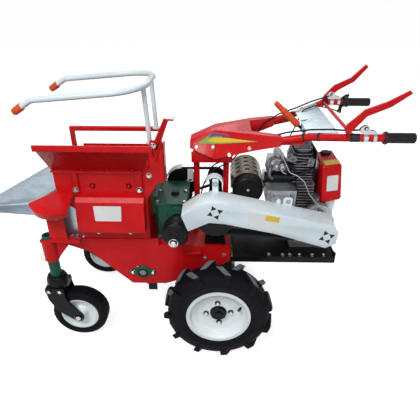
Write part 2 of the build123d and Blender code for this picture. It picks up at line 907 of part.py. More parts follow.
guard_outline = [
    # X, Z round the side face of the guard, from its front tip along the bottom
    (131, 679), (156, 610), (239, 650), (302, 645), (498, 603), (703, 539),
    (741, 560), (745, 612), (728, 642), (292, 735), (245, 740), (200, 728),
]
vent_centres = [(jack_x, 695), (crank_x, 590)]
with BuildPart() as guard:
    face = Plane(origin=(0, guard_face, 0), x_dir=(1, 0, 0), z_dir=(0, -1, 0))
    with BuildSketch(face):
        Polygon(*guard_outline, align=None)
    extrude(amount=-guard_depth)
    with BuildSketch(face.offset(-guard_sheet)):
        Polygon(*guard_outline, align=None)
        offset(amount=-guard_sheet)
    with BuildSketch(face.offset(-guard_sheet)):
        with Locations((-32, -60)):
            Polygon(*guard_outline, align=None)
            offset(amount=-guard_sheet)
    extrude(amount=-guard_depth, mode=Mode.SUBTRACT)
    tab_near = guard_face + guard_depth - guard_sheet
    with Locations((jack_x, (tab_near + stand_near) / 2, 745)):
        Box(24, stand_near - tab_near, 90)
    with BuildSketch(face.offset(5)):
        with Locations(*vent_centres):
            with PolarLocations(19, 4, start_angle=20):
                RegularPolygon(9, 3)
    extrude(amount=-15, mode=Mode.SUBTRACT)
save(guard, "belt_guard")

with BuildPart() as far_guard:
    band_r = roll_drive_r + 12
    centre = (roll_drive_x, far_belt - 6, roll_drive_z)
    with BuildSketch(Plane(origin=centre, x_dir=(1, 0, 0), z_dir=(0, 1, 0))):
        Circle(band_r + sheet)
        Circle(band_r, mode=Mode.SUBTRACT)
        Rectangle(4 * band_r, 2 * band_r, align=(Align.CENTER, Align.MIN), mode=Mode.SUBTRACT)
        Rectangle(2 * band_r, 4 * band_r, align=(Align.MIN, Align.CENTER), mode=Mode.SUBTRACT)
    extrude(amount=far_pulley + 14)
    tab_rear = roll_drive_x - band_r
    tab_front = header_back_x + back_depth
    with Locations(((tab_front + tab_rear) / 2, far_belt + far_pulley / 2 + 1, roll_drive_z + 6)):
        Box(tab_rear - tab_front, far_pulley + 14, 40)
save(far_guard, "roll_pulley_guard")

# Engine bed and hitch
with BuildPart() as bed:
    beam_top = bed_top - bed_plate
    for side, name in SIDES:
        corner = (bed_front, side * wall_in, beam_top)
        with BuildSketch(Plane(origin=corner, x_dir=(0, side, 0), z_dir=(1, 0, 0))):
            down = -side * bed_beam
            Polygon(
                (0, 0), (0, down), (-beam_width, down), (-beam_width, down + side * bed_wall),
                (-bed_wall, down + side * bed_wall), (-bed_wall, 0),
                align=None,
            )
        extrude(amount=bed_rear - bed_front)
    plate_front = axle_x + case_long / 2
    with Locations(((plate_front + bed_rear) / 2, 0, bed_top - bed_plate / 2)):
        Box(bed_rear - plate_front, inner_width, bed_plate)
    end_low = beam_top - bed_beam
    with BuildSketch(Plane(origin=(bed_rear, 0, end_low), x_dir=(0, 1, 0), z_dir=(1, 0, 0))):
        Polygon(
            (-wall_in, 0), (wall_in, 0), (wall_in, bed_beam + 30), (wall_in - 40, bed_beam + 14),
            (40 - wall_in, bed_beam + 14), (-wall_in, bed_beam + 30),
            align=None,
        )
    extrude(amount=bed_plate)
save(bed, "engine_bed")

hitch_pin_r = 10.0
with BuildPart() as hitch:
    with Locations((470, 0, (290 + bed_top - bed_plate) / 2)):
        Box(60, 80, bed_top - bed_plate - 290)
    with Locations((470, 0, 330)):
        Box(80, 44, 44, mode=Mode.SUBTRACT)
    with Locations((470, 0, 330)):
        Cylinder(hitch_pin_r, 200, mode=Mode.SUBTRACT)
save(hitch, "rear_hitch")

tank_edge = [
    # X, Z round the side of the tank, from its low front corner
    (718, 631), (801, 652), (780, 816), (700, 804),
]
tank_low, tank_heel = tank_edge[:2]
tank_slope = (tank_heel[1] - tank_low[1]) / (tank_heel[0] - tank_low[0])
case_edge = [
    # X, Z round the side of the crankcase
    (case_rear - 4, bed_top), (770, bed_top), (782, 560), (712, cylinder_base), (case_rear, cylinder_base),
    (case_rear, case_top), (case_front, case_top), (case_front, case_top - 68), (case_front + 80, 560),
]
with BuildPart() as block:
    with BuildSketch(Plane.XZ.offset(-engine_right)):
        Polygon(*case_edge, align=None)
    extrude(amount=engine_right - engine_left)
    near_face = Plane(origin=(0, engine_left, 0), x_dir=(1, 0, 0), z_dir=(0, -1, 0))
    with BuildSketch(near_face):
        with Locations((crank_x, crank_z)):
            Circle(58)
    extrude(amount=30)
    cover_z = case_top - 36
    with BuildSketch(near_face):
        with Locations(((case_front + case_rear) / 2, cover_z)):
            RectangleRounded(96, 52, 10)
    extrude(amount=8)
    cradle = [(x, tank_low[1] + tank_slope * (x - tank_low[0])) for x in (744, 787)]
    with BuildSketch(Plane.XZ.offset(-15)):
        Polygon(*cradle, (779, 555), (738, 578), align=None)
    extrude(amount=90)
save(block, "engine_block")

with BuildPart() as cylinder:
    fin_left = engine_left + 8
    fin_right = engine_right - 12
    with BuildSketch(Plane.XY.offset(cylinder_base)):
        with Locations((cylinder_x, (fin_left + fin_right) / 2)):
            RectangleRounded(58, 150, 20)
    extrude(amount=cylinder_top - cylinder_base)
    for step in range(fin_count):
        with BuildSketch(Plane.XY.offset(cylinder_base + 4 + fin_pitch * step)):
            with Locations((cylinder_x, (fin_left + fin_right) / 2)):
                RectangleRounded(74, fin_right - fin_left, 12)
        extrude(amount=fin_plate)
save(cylinder, "engine_cylinder")

cowl_stages = [
    # Z, length, width, corner of the cowl over the cylinder
    (cylinder_top, 76, 130, 14), (cylinder_top + 34, 104, 164, 20),
    (cylinder_top + 92, 98, 150, 26), (cylinder_top + 140, 60, 96, 22),
]
with BuildPart() as shroud:
    for low, long, wide, corner in cowl_stages:
        with BuildSketch(Plane.XY.offset(low)):
            with Locations((cylinder_x - 12, -5)):
                RectangleRounded(long, wide, corner)
    loft(ruled=True)
    with BuildSketch(Plane.XY.offset(case_top)):
        with Locations(((case_front + case_rear) / 2, 5)):
            RectangleRounded(case_rear - case_front - 8, 190, 16)
    extrude(amount=duct_top - case_top)
    intake_y = engine_left + intake_r + 4
    with BuildSketch(Plane(origin=(case_front + 4, intake_y, duct_top), z_dir=(1, 0, 0))):
        Circle(intake_r)
    extrude(amount=case_rear - case_front - 8)
save(shroud, "engine_shroud")

head_x = (case_front + case_rear) / 2 - 14
head_top = duct_top + 58
with BuildPart() as head:
    with BuildSketch(Plane.XY.offset(duct_top)):
        with Locations((head_x, 20)):
            RectangleRounded(84, 130, 14)
    extrude(amount=head_top - duct_top, taper=6)
    with BuildSketch(Plane(origin=(head_x + 6, -52, head_top + 16), z_dir=(0, 1, 0))):
        Circle(26)
    extrude(amount=112, taper=4)
    with BuildSketch(Plane(origin=(head_x - 8, -40, head_top - 10), z_dir=(0, -1, 0))):
        Circle(18)
    extrude(amount=24)
save(head, "engine_head")

with BuildPart() as starter:
    with BuildSketch(Plane(origin=(crank_x - 20, engine_right, crank_z), z_dir=(0, 1, 0))):
        Circle(105)
    extrude(amount=36)
    with BuildSketch(Plane(origin=(crank_x - 20, engine_right + 36, crank_z), z_dir=(0, 1, 0))):
        Circle(70)
    extrude(amount=14)
save(starter, "recoil_starter")

with BuildPart() as muffler:
    with BuildSketch(wheel_plane(muffler_x, muffler_left, muffler_z, 1)):
        Polygon(
            (0, 0),
            (0, muffler_r - 12),
            (6, muffler_r - 3),
            (12, muffler_r),
            (muffler_length - 12, muffler_r),
            (muffler_length, muffler_r - 12),
            (muffler_length, 0),
            align=None,
        )
    revolve(axis=Axis((muffler_x, muffler_left, muffler_z), (0, 1, 0)))
    with BuildSketch(Plane(origin=(muffler_x + 40, 40, muffler_z - 20), z_dir=(1, 0, 0))):
        Circle(exhaust_r)
    extrude(amount=case_front - muffler_x - 40)
save(muffler, "muffler")

# Perforated heat shield over the upper half of the muffler
shield_left = muffler_left + 34
shield_length = muffler_length - 46
shield_rim = 9.0
shield_rows = (28, 60, 92, 124, 152)
with BuildPart() as shield:
    shield_in = muffler_r + shield_gap
    runs = [
        # start along Y, length, inner radius
        (0, shield_rim, muffler_r + fit_gap),
        (0, shield_length, shield_in),
        (shield_length - shield_rim, shield_rim, muffler_r + fit_gap),
    ]
    for start, run, inner in runs:
        origin = (muffler_x, shield_left + start, muffler_z)
        with BuildSketch(Plane(origin=origin, x_dir=(-1, 0, 0), z_dir=(0, 1, 0))):
            Circle(shield_in + shield_sheet)
            Circle(inner, mode=Mode.SUBTRACT)
            Rectangle(4 * muffler_r, 2 * muffler_r, align=(Align.CENTER, Align.MAX), mode=Mode.SUBTRACT)
        extrude(amount=run)
    for angle in shield_rows:
        out = Vector(cos(radians(angle)), 0, sin(radians(angle)))
        middle = Vector(muffler_x, shield_left + shield_length / 2, muffler_z) + out * (muffler_r + 1)
        with BuildSketch(Plane(origin=middle, x_dir=(0, 1, 0), z_dir=out)):
            with GridLocations(44, 1, 4, 1):
                Rectangle(14, 20)
        extrude(amount=2 * shield_gap, mode=Mode.SUBTRACT)
save(shield, "muffler_shield")

with BuildPart() as tank:
    with BuildSketch(Plane.XZ.offset(-tank_right)):
        Polygon(*tank_edge, align=None)
    extrude(amount=tank_right - tank_left)
    fillet(tank.edges().filter_by(Axis.Y), 12)
    chamfer(tank.faces().sort_by(Axis.Y)[0].edges(), 5)
    with BuildSketch(Plane.XY.offset(tank_edge[3][1] - 4)):
        with Locations((732, -8)):
            Circle(24)
    extrude(amount=28)
save(tank, "fuel_tank")

# Handle
with BuildPart() as handle_post:
    for post_x in (178, 307):
        with Locations((post_x, 0, (deck_top + handle_base_z) / 2)):
            Box(post_side, post_side, handle_base_z - deck_top)
    with BuildSketch(Plane(origin=(base_front, 0, handle_base_z), x_dir=(0, 1, 0), z_dir=(1, 0, 0))):
        Rectangle(2 * base_half, base_rise, align=(Align.CENTER, Align.MIN))
        with Locations((0, base_wall)):
            inside = 2 * (base_half - base_wall)
            Rectangle(inside, base_rise, align=(Align.CENTER, Align.MIN), mode=Mode.SUBTRACT)
    extrude(amount=base_rear - base_front)
save(handle_post, "handle_post")

bar_tip = 4.0


def bar_route(side):
    """Points of a handlebar tube, from its socket in the fairing to the end of the grip."""
    return [
        (440, side * 110, handle_base_z + 107),
        (604, side * 152, handle_base_z + 147),
        (764, side * bar_y, bar_z),
        (bar_end - bar_tip, side * bar_y, bar_z),
    ]


def bar_tube(side, radius):
    """One handlebar tube."""
    return round_bar(bar_route(side), [120, 90], radius)


fairing_stages = [
    # X, half width of the top, half width of the bottom, rise of the bottom and of the top above the base
    (154, 34, 64, 66, 92),
    (256, 43, 95, 30, 137),
    (415, 113, 122, 78, 144),
    (516, 147, 146, 106, 144),
]
fairing_end = fairing_stages[-1][0]
fairing_notch = [(405, 70), (fairing_end + 4, 114)]
with BuildPart() as fairing:
    for x, top_half, low_half, low, high in fairing_stages:
        with BuildSketch(Plane(origin=(x, 0, handle_base_z), x_dir=(0, 1, 0), z_dir=(1, 0, 0))):
            Polygon((-low_half, low), (low_half, low), (top_half, high), (-top_half, high), align=None)
    loft(ruled=True)
    with BuildSketch(Plane.XY.offset(handle_base_z)):
        Polygon(*fairing_notch, *[(x, -y) for x, y in reversed(fairing_notch)], align=None)
    extrude(amount=fairing_end, mode=Mode.SUBTRACT)
    with BuildSketch(Plane.XY.offset(handle_base_z)):
        with Locations(((base_front + base_rear) / 2, 0)):
            Rectangle(base_rear - base_front + 2 * fit_gap, 2 * (base_half + fit_gap))
    extrude(amount=base_rise + fit_gap, mode=Mode.SUBTRACT)
    for side, name in SIDES:
        add(bar_tube(side, bar_r + fit_gap), mode=Mode.SUBTRACT)
save(fairing, "handle_fairing")

gusset_front = 20.0
gusset_rear = 8.0
cross_x = 757.0
cross_r = 7.0
cross_half = bar_y - 4
with BuildPart() as bars:
    for side, name in SIDES:
        add(bar_tube(side, bar_r))
        root, elbow = [Vector(*point) for point in bar_route(side)[:2]]
        start = root + (elbow - root) * ((fairing_end + 2 - root.X) / (elbow.X - root.X))
        run = Vector(elbow.X - start.X, elbow.Y - start.Y, 0)
        with BuildSketch(Plane(origin=start, x_dir=run, z_dir=run.cross(Vector(0, 0, 1)))):
            Polygon(
                (0, 0),
                (run.length, elbow.Z - start.Z),
                (run.length, -gusset_rear),
                (0, -gusset_front),
                align=None,
            )
        extrude(amount=sheet / 2, both=True)
    with BuildSketch(Plane(origin=(cross_x, -cross_half, bar_z), z_dir=(0, 1, 0))):
        Circle(cross_r)
    extrude(amount=2 * cross_half)
save(bars, "handle_bars")

with BuildPart() as grips:
    for side, name in SIDES:
        knee, tip = [Vector(*point) for point in bar_route(side)[-2:]]
        inward = (knee - tip).normalized()
        with BuildSketch(Plane(origin=tip - inward * bar_tip, z_dir=inward)):
            Circle(grip_r)
        extrude(amount=grip_length)
        with BuildSketch(Plane(origin=tip + inward * (grip_length - bar_tip), z_dir=inward)):
            Circle(grip_r + 5)
        extrude(amount=5)
        with BuildSketch(Plane(origin=tip, z_dir=inward)):
            Circle(bar_r + fit_gap)
        extrude(amount=grip_length + 10, mode=Mode.SUBTRACT)
save(grips, "grips")

lever_pivot = 724.0
lever_turn = 10.8
lever_width = 18.0
with BuildPart() as levers:
    for side, name in SIDES:
        elbow, knee = [Vector(*point) for point in bar_route(side)[1:3]]
        seat = elbow + (knee - elbow) * ((lever_pivot - elbow.X) / (knee.X - elbow.X))
        run = (knee - elbow).normalized()
        with BuildSketch(Plane(origin=seat - run * 14, z_dir=run)):
            Circle(bar_r + 5)
        extrude(amount=28)
        ahead = Vector(cos(radians(lever_turn)), side * sin(radians(lever_turn)), 0)
        across = Vector(-ahead.Y, ahead.X, 0)
        upright = Plane(origin=seat + across * (lever_width / 2), x_dir=ahead, z_dir=across * -1)
        flip = 1 if upright.y_dir.Z > 0 else -1
        rise = [(6, 34), (60, 98), (122, 126), (212, 172)]
        with BuildSketch(upright):
            with BuildLine():
                Polyline(*[(x, flip * z) for x, z in rise])
            trace(line_width=17)
            with Locations((2, flip * 28)):
                Circle(17)
        extrude(amount=lever_width)
        with BuildSketch(Plane(origin=seat - run * 40, z_dir=run)):
            Circle(bar_r + fit_gap)
        extrude(amount=80, mode=Mode.SUBTRACT)
save(levers, "clutch_levers")

knob_start = Vector(602, 0, handle_base_z + 147)
knob_end = Vector(501, 0, handle_base_z + 240)
knob_axis = (knob_end - knob_start).normalized()
pivot_point = knob_start - knob_axis * 35
gear_pivot = (pivot_point.X, pivot_point.Z)
gear_pin_r = 5.0
ear_plate = 5.0
ear_gap = 16.0
ear_r = 11.0
gear_slope = 0.22
gear_plate_mid = 690.0
gear_plate_rise = 178.0
gear_plate_sheet = 3.0
gear_plate_ends = [
    # along the slope from the middle, half width
    (-80, 152), (22, 211),
]


def gear_plate_z(x):
    """Height of the gear plate's lower face."""
    return handle_base_z + gear_plate_rise + gear_slope * (x - gear_plate_mid)


with BuildPart() as gear_plate:
    middle = (gear_plate_mid, 0, gear_plate_z(gear_plate_mid))
    with BuildSketch(Plane(origin=middle, x_dir=(1, 0, gear_slope), z_dir=(-gear_slope, 0, 1))):
        Polygon(*gear_plate_ends, *[(x, -y) for x, y in reversed(gear_plate_ends)], align=None)
        with Locations((gear_plate_ends[0][0], 0)):
            Rectangle(80, ear_gap, mode=Mode.SUBTRACT)
    extrude(amount=gear_plate_sheet)
    for side, name in SIDES:
        add(bar_tube(side, bar_r + fit_gap), mode=Mode.SUBTRACT)
        with BuildSketch(side_plane(side * ear_gap / 2, side)):
            pivot_x, pivot_z = gear_pivot
            tail = [(pivot_x - ear_r, pivot_z), (pivot_x + ear_r, pivot_z)]
            tail += [(x, gear_plate_z(x) + gear_plate_sheet / 2) for x in (pivot_x + ear_r, pivot_x - ear_r)]
            Polygon(*side_points(tail, side), align=None)
            with Locations(side_points([gear_pivot], side)[0]):
                Circle(ear_r)
                Circle(gear_pin_r + fit_gap, mode=Mode.SUBTRACT)
        extrude(amount=ear_plate)
save(gear_plate, "gear_plate")

rod_r = 6.0
rod_end = knob_end - knob_axis * 14
with BuildPart() as gear_rod:
    add(round_bar([pivot_point, rod_end], [], rod_r))
    with BuildSketch(Plane(origin=pivot_point + Vector(0, ear_gap / 2 - 1, 0), z_dir=(0, -1, 0))):
        Circle(ear_r - 1)
    extrude(amount=ear_gap - 2)
    with BuildSketch(Plane(origin=pivot_point + Vector(0, ear_gap / 2 + ear_plate, 0), z_dir=(0, -1, 0))):
        Circle(gear_pin_r)
    extrude(amount=ear_gap + 2 * ear_plate)
save(gear_rod, "gear_lever")

knob_rings = [
    # share of the knob's length, radius
    (0, 0), (0, 12), (0.04, 14.5), (0.58, 12.5), (0.6, 14.5),
    (0.66, 14.5), (0.68, 11.5), (0.96, 10.5), (1, 7), (1, 0),
]
with BuildPart() as knob:
    length = (knob_end - knob_start).length
    with BuildSketch(Plane(origin=knob_start, x_dir=knob_axis, z_dir=(0, 1, 0))):
        Polygon(*[(share * length, radius) for share, radius in knob_rings], align=None)
    revolve(axis=Axis(knob_start, knob_axis))
    hole_end = rod_end + knob_axis * fit_gap
    add(round_bar([knob_start - knob_axis * 5, hole_end], [], rod_r + fit_gap), mode=Mode.SUBTRACT)
save(knob, "gear_knob")
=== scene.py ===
import json
from math import acos, cos, pi, radians, sin, tau

import bmesh
import bpy
from bpy.props import FloatProperty, FloatVectorProperty, IntProperty, PointerProperty
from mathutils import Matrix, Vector


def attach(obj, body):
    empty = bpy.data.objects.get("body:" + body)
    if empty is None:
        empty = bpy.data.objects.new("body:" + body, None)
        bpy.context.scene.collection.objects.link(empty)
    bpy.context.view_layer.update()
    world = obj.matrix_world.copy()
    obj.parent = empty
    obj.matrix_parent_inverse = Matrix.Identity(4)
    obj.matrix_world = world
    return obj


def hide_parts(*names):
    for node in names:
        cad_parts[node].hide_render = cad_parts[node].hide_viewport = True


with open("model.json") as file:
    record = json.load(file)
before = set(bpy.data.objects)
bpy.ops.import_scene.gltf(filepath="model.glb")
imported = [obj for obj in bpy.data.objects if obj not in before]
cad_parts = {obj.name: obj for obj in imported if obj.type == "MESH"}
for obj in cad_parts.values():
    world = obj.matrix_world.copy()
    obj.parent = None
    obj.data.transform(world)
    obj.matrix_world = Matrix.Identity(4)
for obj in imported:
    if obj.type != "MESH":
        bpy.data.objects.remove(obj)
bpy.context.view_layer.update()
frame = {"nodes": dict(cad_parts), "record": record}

bl_info = {
    "name": "Corn Harvester",
    "version": (1, 0, 0),
    "blender": (4, 5, 0),
    "location": "View3D > Sidebar > Harvester",
    "description": "Dresses the solids of a walk-behind corn harvester with its finishes and fittings",
    "category": "Object",
}

SIDES = {"left": -1, "right": 1}
LEFT = Vector((0, -1, 0))
RIGHT = Vector((0, 1, 0))
UP = Vector((0, 0, 1))
REAR = Vector((1, 0, 0))

# Places of the solids that several pieces share, in millimetres: X, distance from the middle, Z
DRIVE_AXLE = (280, 335, 233)
CASTER_AXLE = (-360, 233, 125)
CASTER_STEM = (-442, 233, 0)

FINISHES = {}


def colour(name, words, default):
    """A paint colour that a user can change."""
    return FloatVectorProperty(
        name=name, description=words, subtype="COLOR", size=3, min=0, max=1, default=default,
    )


def length(name, words, default):
    """A size in metres that a user can change."""
    return FloatProperty(
        name=name, description=words, subtype="DISTANCE", unit="LENGTH", min=0, default=default,
    )


class HarvesterColours(bpy.types.PropertyGroup):
    """Colours of the paints, plastics and metals."""

    red: colour("Red paint", "Panels, frame and handlebar", (0.56, 0.006, 0.009))
    green: colour("Green paint", "Gearbox, axle and caster tubes", (0.008, 0.075, 0.046))
    white: colour("White paint", "Belt guard, guide loop and wheel rims", (0.66, 0.76, 0.80))
    black: colour("Black paint", "Forks, pulleys and muffler", (0.005, 0.005, 0.007))
    silver: colour("Silver sheet", "Dividers, strip plates and gear plate", (0.36, 0.42, 0.47))
    steel: colour("Dark steel", "Rolls, chopper, fins and carburettor", (0.16, 0.16, 0.17))
    zinc: colour("Zinc plate", "Bolts, pins and levers' brackets", (0.48, 0.49, 0.50))
    alloy: colour("Engine casting", "Crankcase and head", (0.42, 0.45, 0.48))
    bronze: colour("Heat shield", "Perforated shield round the muffler", (0.13, 0.10, 0.07))
    rubber: colour("Rubber", "Tyres, belt and cables", (0.004, 0.004, 0.006))
    plastic: colour("Black plastic", "Starter, caps and grips", (0.011, 0.011, 0.013))
    orange: colour("Orange plastic", "Caps of the guide loop and gear knob", (0.62, 0.085, 0.02))
    blank: colour("Blank plates", "Bare plates where signs would be", (0.70, 0.72, 0.72))
    yellow: colour("Yellow", "Bare signs, the middle stripe and the oil filler", (0.72, 0.50, 0.04))
    leaf: colour("Stripe green", "Lower stripe of the handle fairing", (0.22, 0.42, 0.08))
    violet: colour("Stripe violet", "Upper stripe of the handle fairing", (0.16, 0.06, 0.20))
    floor: colour("Floor", "The plain pale floor", (0.90, 0.90, 0.90))


class HarvesterSizes(bpy.types.PropertyGroup):
    """Sizes of the fittings."""

    bolt: length("Bolt", "Radius of a panel bolt's head across its corners", 0.0075)
    edge: length("Sheet edge", "Rounding of a sheet's edges", 0.0011)
    casting_edge: length("Casting edge", "Rounding of a casting's edges", 0.0028)
    floor_reach: length("Floor", "Half the width of the floor", 200.0)
    sky: FloatProperty(
        name="Sky", description="Brightness of the studio round the object", min=0, default=0.36,
    )
    segments: IntProperty(name="Segments", description="Steps round a wheel", min=24, default=96)


class HarvesterSettings(bpy.types.PropertyGroup):
    """All the settings of the harvester."""

    colours: PointerProperty(type=HarvesterColours)
    sizes: PointerProperty(type=HarvesterSizes)


def colours():
    """The colours of this scene."""
    return bpy.context.scene.harvester.colours


def sizes():
    """The sizes of this scene."""
    return bpy.context.scene.harvester.sizes


class Value:
    """A socket in shader maths: an expression on it adds Math nodes."""

    def __init__(self, paint, socket):
        self.paint = paint
        self.socket = socket

    def maths(self, operation, *terms):
        """Add a Math node for an operation on some terms."""
        return self.paint.node("ShaderNodeMath", {"operation": operation}, dict(enumerate(terms)))

    def __add__(self, other):
        return self.maths("ADD", self, other)

    def __radd__(self, other):
        return self.maths("ADD", other, self)

    def __sub__(self, other):
        return self.maths("SUBTRACT", self, other)

    def __rsub__(self, other):
        return self.maths("SUBTRACT", other, self)

    def __mul__(self, other):
        return self.maths("MULTIPLY", self, other)

    def __rmul__(self, other):
        return self.maths("MULTIPLY", other, self)

    def __truediv__(self, other):
        return self.maths("DIVIDE", self, other)

    def __rtruediv__(self, other):
        return self.maths("DIVIDE", other, self)

    def __pow__(self, other):
        return self.maths("POWER", self, other)


class Paint:
    """A material and the nodes that vary it over a surface."""

    def __init__(self, name, **fixed):
        self.material = bpy.data.materials.new(name)
        self.material.use_nodes = True
        self.tree = self.material.node_tree
        self.shader = self.tree.nodes["Principled BSDF"]
        for socket, value in fixed.items():
            self.feed(self.shader.inputs[socket.replace("_", " ")], value)

    def feed(self, socket, value):
        """Link a value to a socket, or set it there."""
        if isinstance(value, Value):
            self.tree.links.new(value.socket, socket)
        else:
            socket.default_value = value

    def node(self, kind, settings=None, inputs=None, output=0):
        """Add a node: its settings first, then the values or links of its sockets."""
        made = self.tree.nodes.new(kind)
        for key, value in (settings or {}).items():
            setattr(made, key, value)
        for key, value in (inputs or {}).items():
            self.feed(made.inputs[key], value)
        return Value(self, made.outputs[output])

    def vector(self, operation, *terms, output=0):
        """Add a Vector Math node for an operation on some terms."""
        return self.node("ShaderNodeVectorMath", {"operation": operation}, dict(enumerate(terms)), output)

    def place(self):
        """Where a point is on its piece, in metres."""
        return self.node("ShaderNodeTexCoord", output="Object")

    def noise(self, scale, detail=4.0, roughness=0.55, stretch=None):
        """Soft noise from 0 to 1, a number of blotches to the metre."""
        where = self.place()
        if stretch:
            where = self.vector("MULTIPLY", where, stretch)
        values = {"Vector": where, "Scale": scale, "Detail": detail, "Roughness": roughness}
        return self.node("ShaderNodeTexNoise", None, values)

    def span(self, value, low, high, start=0.0, end=1.0):
        """A value from low to high, turned into start to end and kept there."""
        inputs = {"Value": value, "From Min": low, "From Max": high, "To Min": start, "To Max": end}
        return self.node("ShaderNodeMapRange", {"clamp": True}, inputs)

    def mix(self, factor, first, second):
        """A colour between two."""
        inputs = {0: factor, 6: first, 7: second}
        return self.node("ShaderNodeMix", {"data_type": "RGBA"}, inputs, 2)

    def ray(self, kind):
        """1 for one kind of ray, such as Camera, and 0 for the others."""
        return self.node("ShaderNodeLightPath", output=f"Is {kind} Ray")

    def mirrored(self):
        """1 where a mirror or glass looks at the surface."""
        mirror = self.ray("Glossy")
        return mirror.maths("MAXIMUM", mirror, self.ray("Transmission"))

    def seen(self):
        """1 where the camera, a mirror or glass looks at the surface, 0 for the light that it gives off."""
        camera = self.ray("Camera")
        return camera.maths("MAXIMUM", camera, self.mirrored())

    def edges(self, radius, gain):
        """From 0 on flats to 1 on sharp edges."""
        softened = self.node("ShaderNodeBevel", {"samples": 4}, {"Radius": radius})
        true_normal = self.node("ShaderNodeNewGeometry", output="Normal")
        facing = self.vector("DOT_PRODUCT", softened, true_normal, output="Value")
        return self.span(1 - facing, 0.0, 1 / gain)

    def bump(self, height, distance):
        """Feed a height, of a distance in metres, to the shader's normal."""
        raised = self.node("ShaderNodeBump", None, {"Height": height, "Distance": distance})
        self.feed(self.shader.inputs["Normal"], raised)

    def colour(self, value):
        """Feed the shader's colour."""
        self.feed(self.shader.inputs["Base Color"], value)

    def rough(self, value):
        """Feed the shader's roughness."""
        self.feed(self.shader.inputs["Roughness"], value)


class Sky(Paint):
    """The white studio round the scene."""

    def __init__(self, world):
        self.tree = world.node_tree
        self.shader = self.tree.nodes["Background"]

    def light(self, level, to_camera, to_mirrors):
        """Set how bright the sky is to surfaces, to the camera and in mirrors and glass."""
        strength = level + self.mirrored() * (to_mirrors - level) + self.ray("Camera") * (to_camera - level)
        self.feed(self.shader.inputs["Color"], (1, 1, 1, 1))
        self.feed(self.shader.inputs["Strength"], strength)


def shade(tint, factor):
    """A colour made darker or paler, as a socket takes it."""
    return (*[min(1.0, part * factor) for part in tint], 1.0)


DUST = (0.33, 0.27, 0.22, 1)
ROAD_DUST = (0.16, 0.14, 0.12, 1)
RUBBED_RUBBER = (0.20, 0.21, 0.22, 1)
PRIMER_CHIP = (0.2, 0.19, 0.18)
PALE_CHIP = (0.42, 0.42, 0.42)


def gloss_paint(name, tint, roughness, dust, chip, shine=0.22):
    """Sprayed paint: orange peel, faint dust in blotches and chips on the edges."""
    paint = Paint(name, Coat_Weight=shine * 0.25, Coat_Roughness=0.12, Specular_IOR_Level=shine)
    cloud = paint.noise(9, 5)
    grime = paint.noise(55, 6, 0.65)
    dusty = paint.span(cloud * 0.7 + grime * 0.3, 0.48, 0.72, 0, dust)
    fine = paint.noise(240, 3)
    worn = paint.edges(0.0022, 5.0) * paint.span(fine, 0.50, 0.62)
    base = paint.mix(paint.span(cloud, 0.3, 0.7), shade(tint, 0.9), shade(tint, 1.06))
    base = paint.mix(dusty, base, DUST)
    paint.colour(paint.mix(worn * 0.55, base, (*chip, 1)))
    paint.rough(paint.span(grime, 0.3, 0.75, roughness - 0.06, roughness + 0.12) + worn * 0.2)
    paint.bump(paint.noise(520, 2), 0.00016)
    return paint.material


def sheet_metal(name, tint, roughness, stretch, metal=0.85):
    """Bare sheet: rolling marks along it, blotches and small scratches."""
    paint = Paint(name, Metallic=metal)
    grain = paint.noise(140, 3, 0.6, stretch)
    cloud = paint.noise(14, 5, 0.6)
    speck = paint.noise(420, 2, 0.7)
    base = paint.mix(paint.span(grain, 0.3, 0.7), shade(tint, 0.86), shade(tint, 1.1))
    paint.colour(paint.mix(paint.span(cloud, 0.5, 0.75, 0, 0.3), base, shade(tint, 0.62)))
    paint.rough(paint.span(cloud * 0.6 + speck * 0.4, 0.35, 0.7, roughness - 0.08, roughness + 0.14))
    paint.bump(grain * 0.7 + speck * 0.3, 0.00012)
    return paint.material


def casting(name, tint, roughness, metal):
    """Cast metal: a sandy skin with worn high edges."""
    paint = Paint(name, Metallic=metal)
    sand = paint.noise(700, 3, 0.7)
    cloud = paint.noise(18, 5, 0.6)
    worn = paint.edges(0.002, 4.0)
    base = paint.mix(paint.span(cloud, 0.3, 0.72), shade(tint, 0.72), shade(tint, 1.12))
    paint.colour(paint.mix(worn * 0.5, base, shade(tint, 1.5)))
    paint.rough(paint.span(sand, 0.3, 0.7, roughness - 0.06, roughness + 0.1))
    paint.bump(sand, 0.0007)
    return paint.material


def tyre_rubber(name, tint, axle=None, worn=None):
    """Tyre rubber: matt, with fine moulding marks and, on lugs, worn pale faces at a range of radii."""
    paint = Paint(name, Specular_IOR_Level=0.08)
    fine = paint.noise(620, 3, 0.7)
    cloud = paint.noise(26, 5, 0.62)
    dusty = paint.span(cloud, 0.45, 0.8, 0, 0.01)
    base = paint.mix(paint.span(fine, 0.3, 0.7), shade(tint, 0.75), shade(tint, 1.5))
    base = paint.mix(dusty, base, ROAD_DUST)
    if worn:
        spoke = paint.vector("MULTIPLY_ADD", paint.place(), (1, 0, 1), (-axle.x, 0, -axle.z))
        radius = paint.vector("LENGTH", spoke, output="Value")
        rubbed = paint.span(radius, *worn) * paint.span(cloud, 0.3, 0.6, 0.35, 0.85)
        base = paint.mix(rubbed, base, RUBBED_RUBBER)
    paint.colour(base)
    paint.rough(paint.span(fine * 0.5 + cloud * 0.5, 0.3, 0.7, 0.52, 0.78))
    paint.bump(fine, 0.0003)
    return paint.material


def moulded(name, tint, roughness, grain):
    """Moulded plastic with a fine grain."""
    paint = Paint(name, Specular_IOR_Level=0.2)
    fine = paint.noise(900, 2, 0.6)
    cloud = paint.noise(20, 4)
    paint.colour(paint.mix(paint.span(cloud, 0.35, 0.7), shade(tint, 0.85), shade(tint, 1.15)))
    paint.rough(paint.span(fine, 0.3, 0.7, roughness - 0.06, roughness + 0.08))
    paint.bump(fine, grain)
    return paint.material


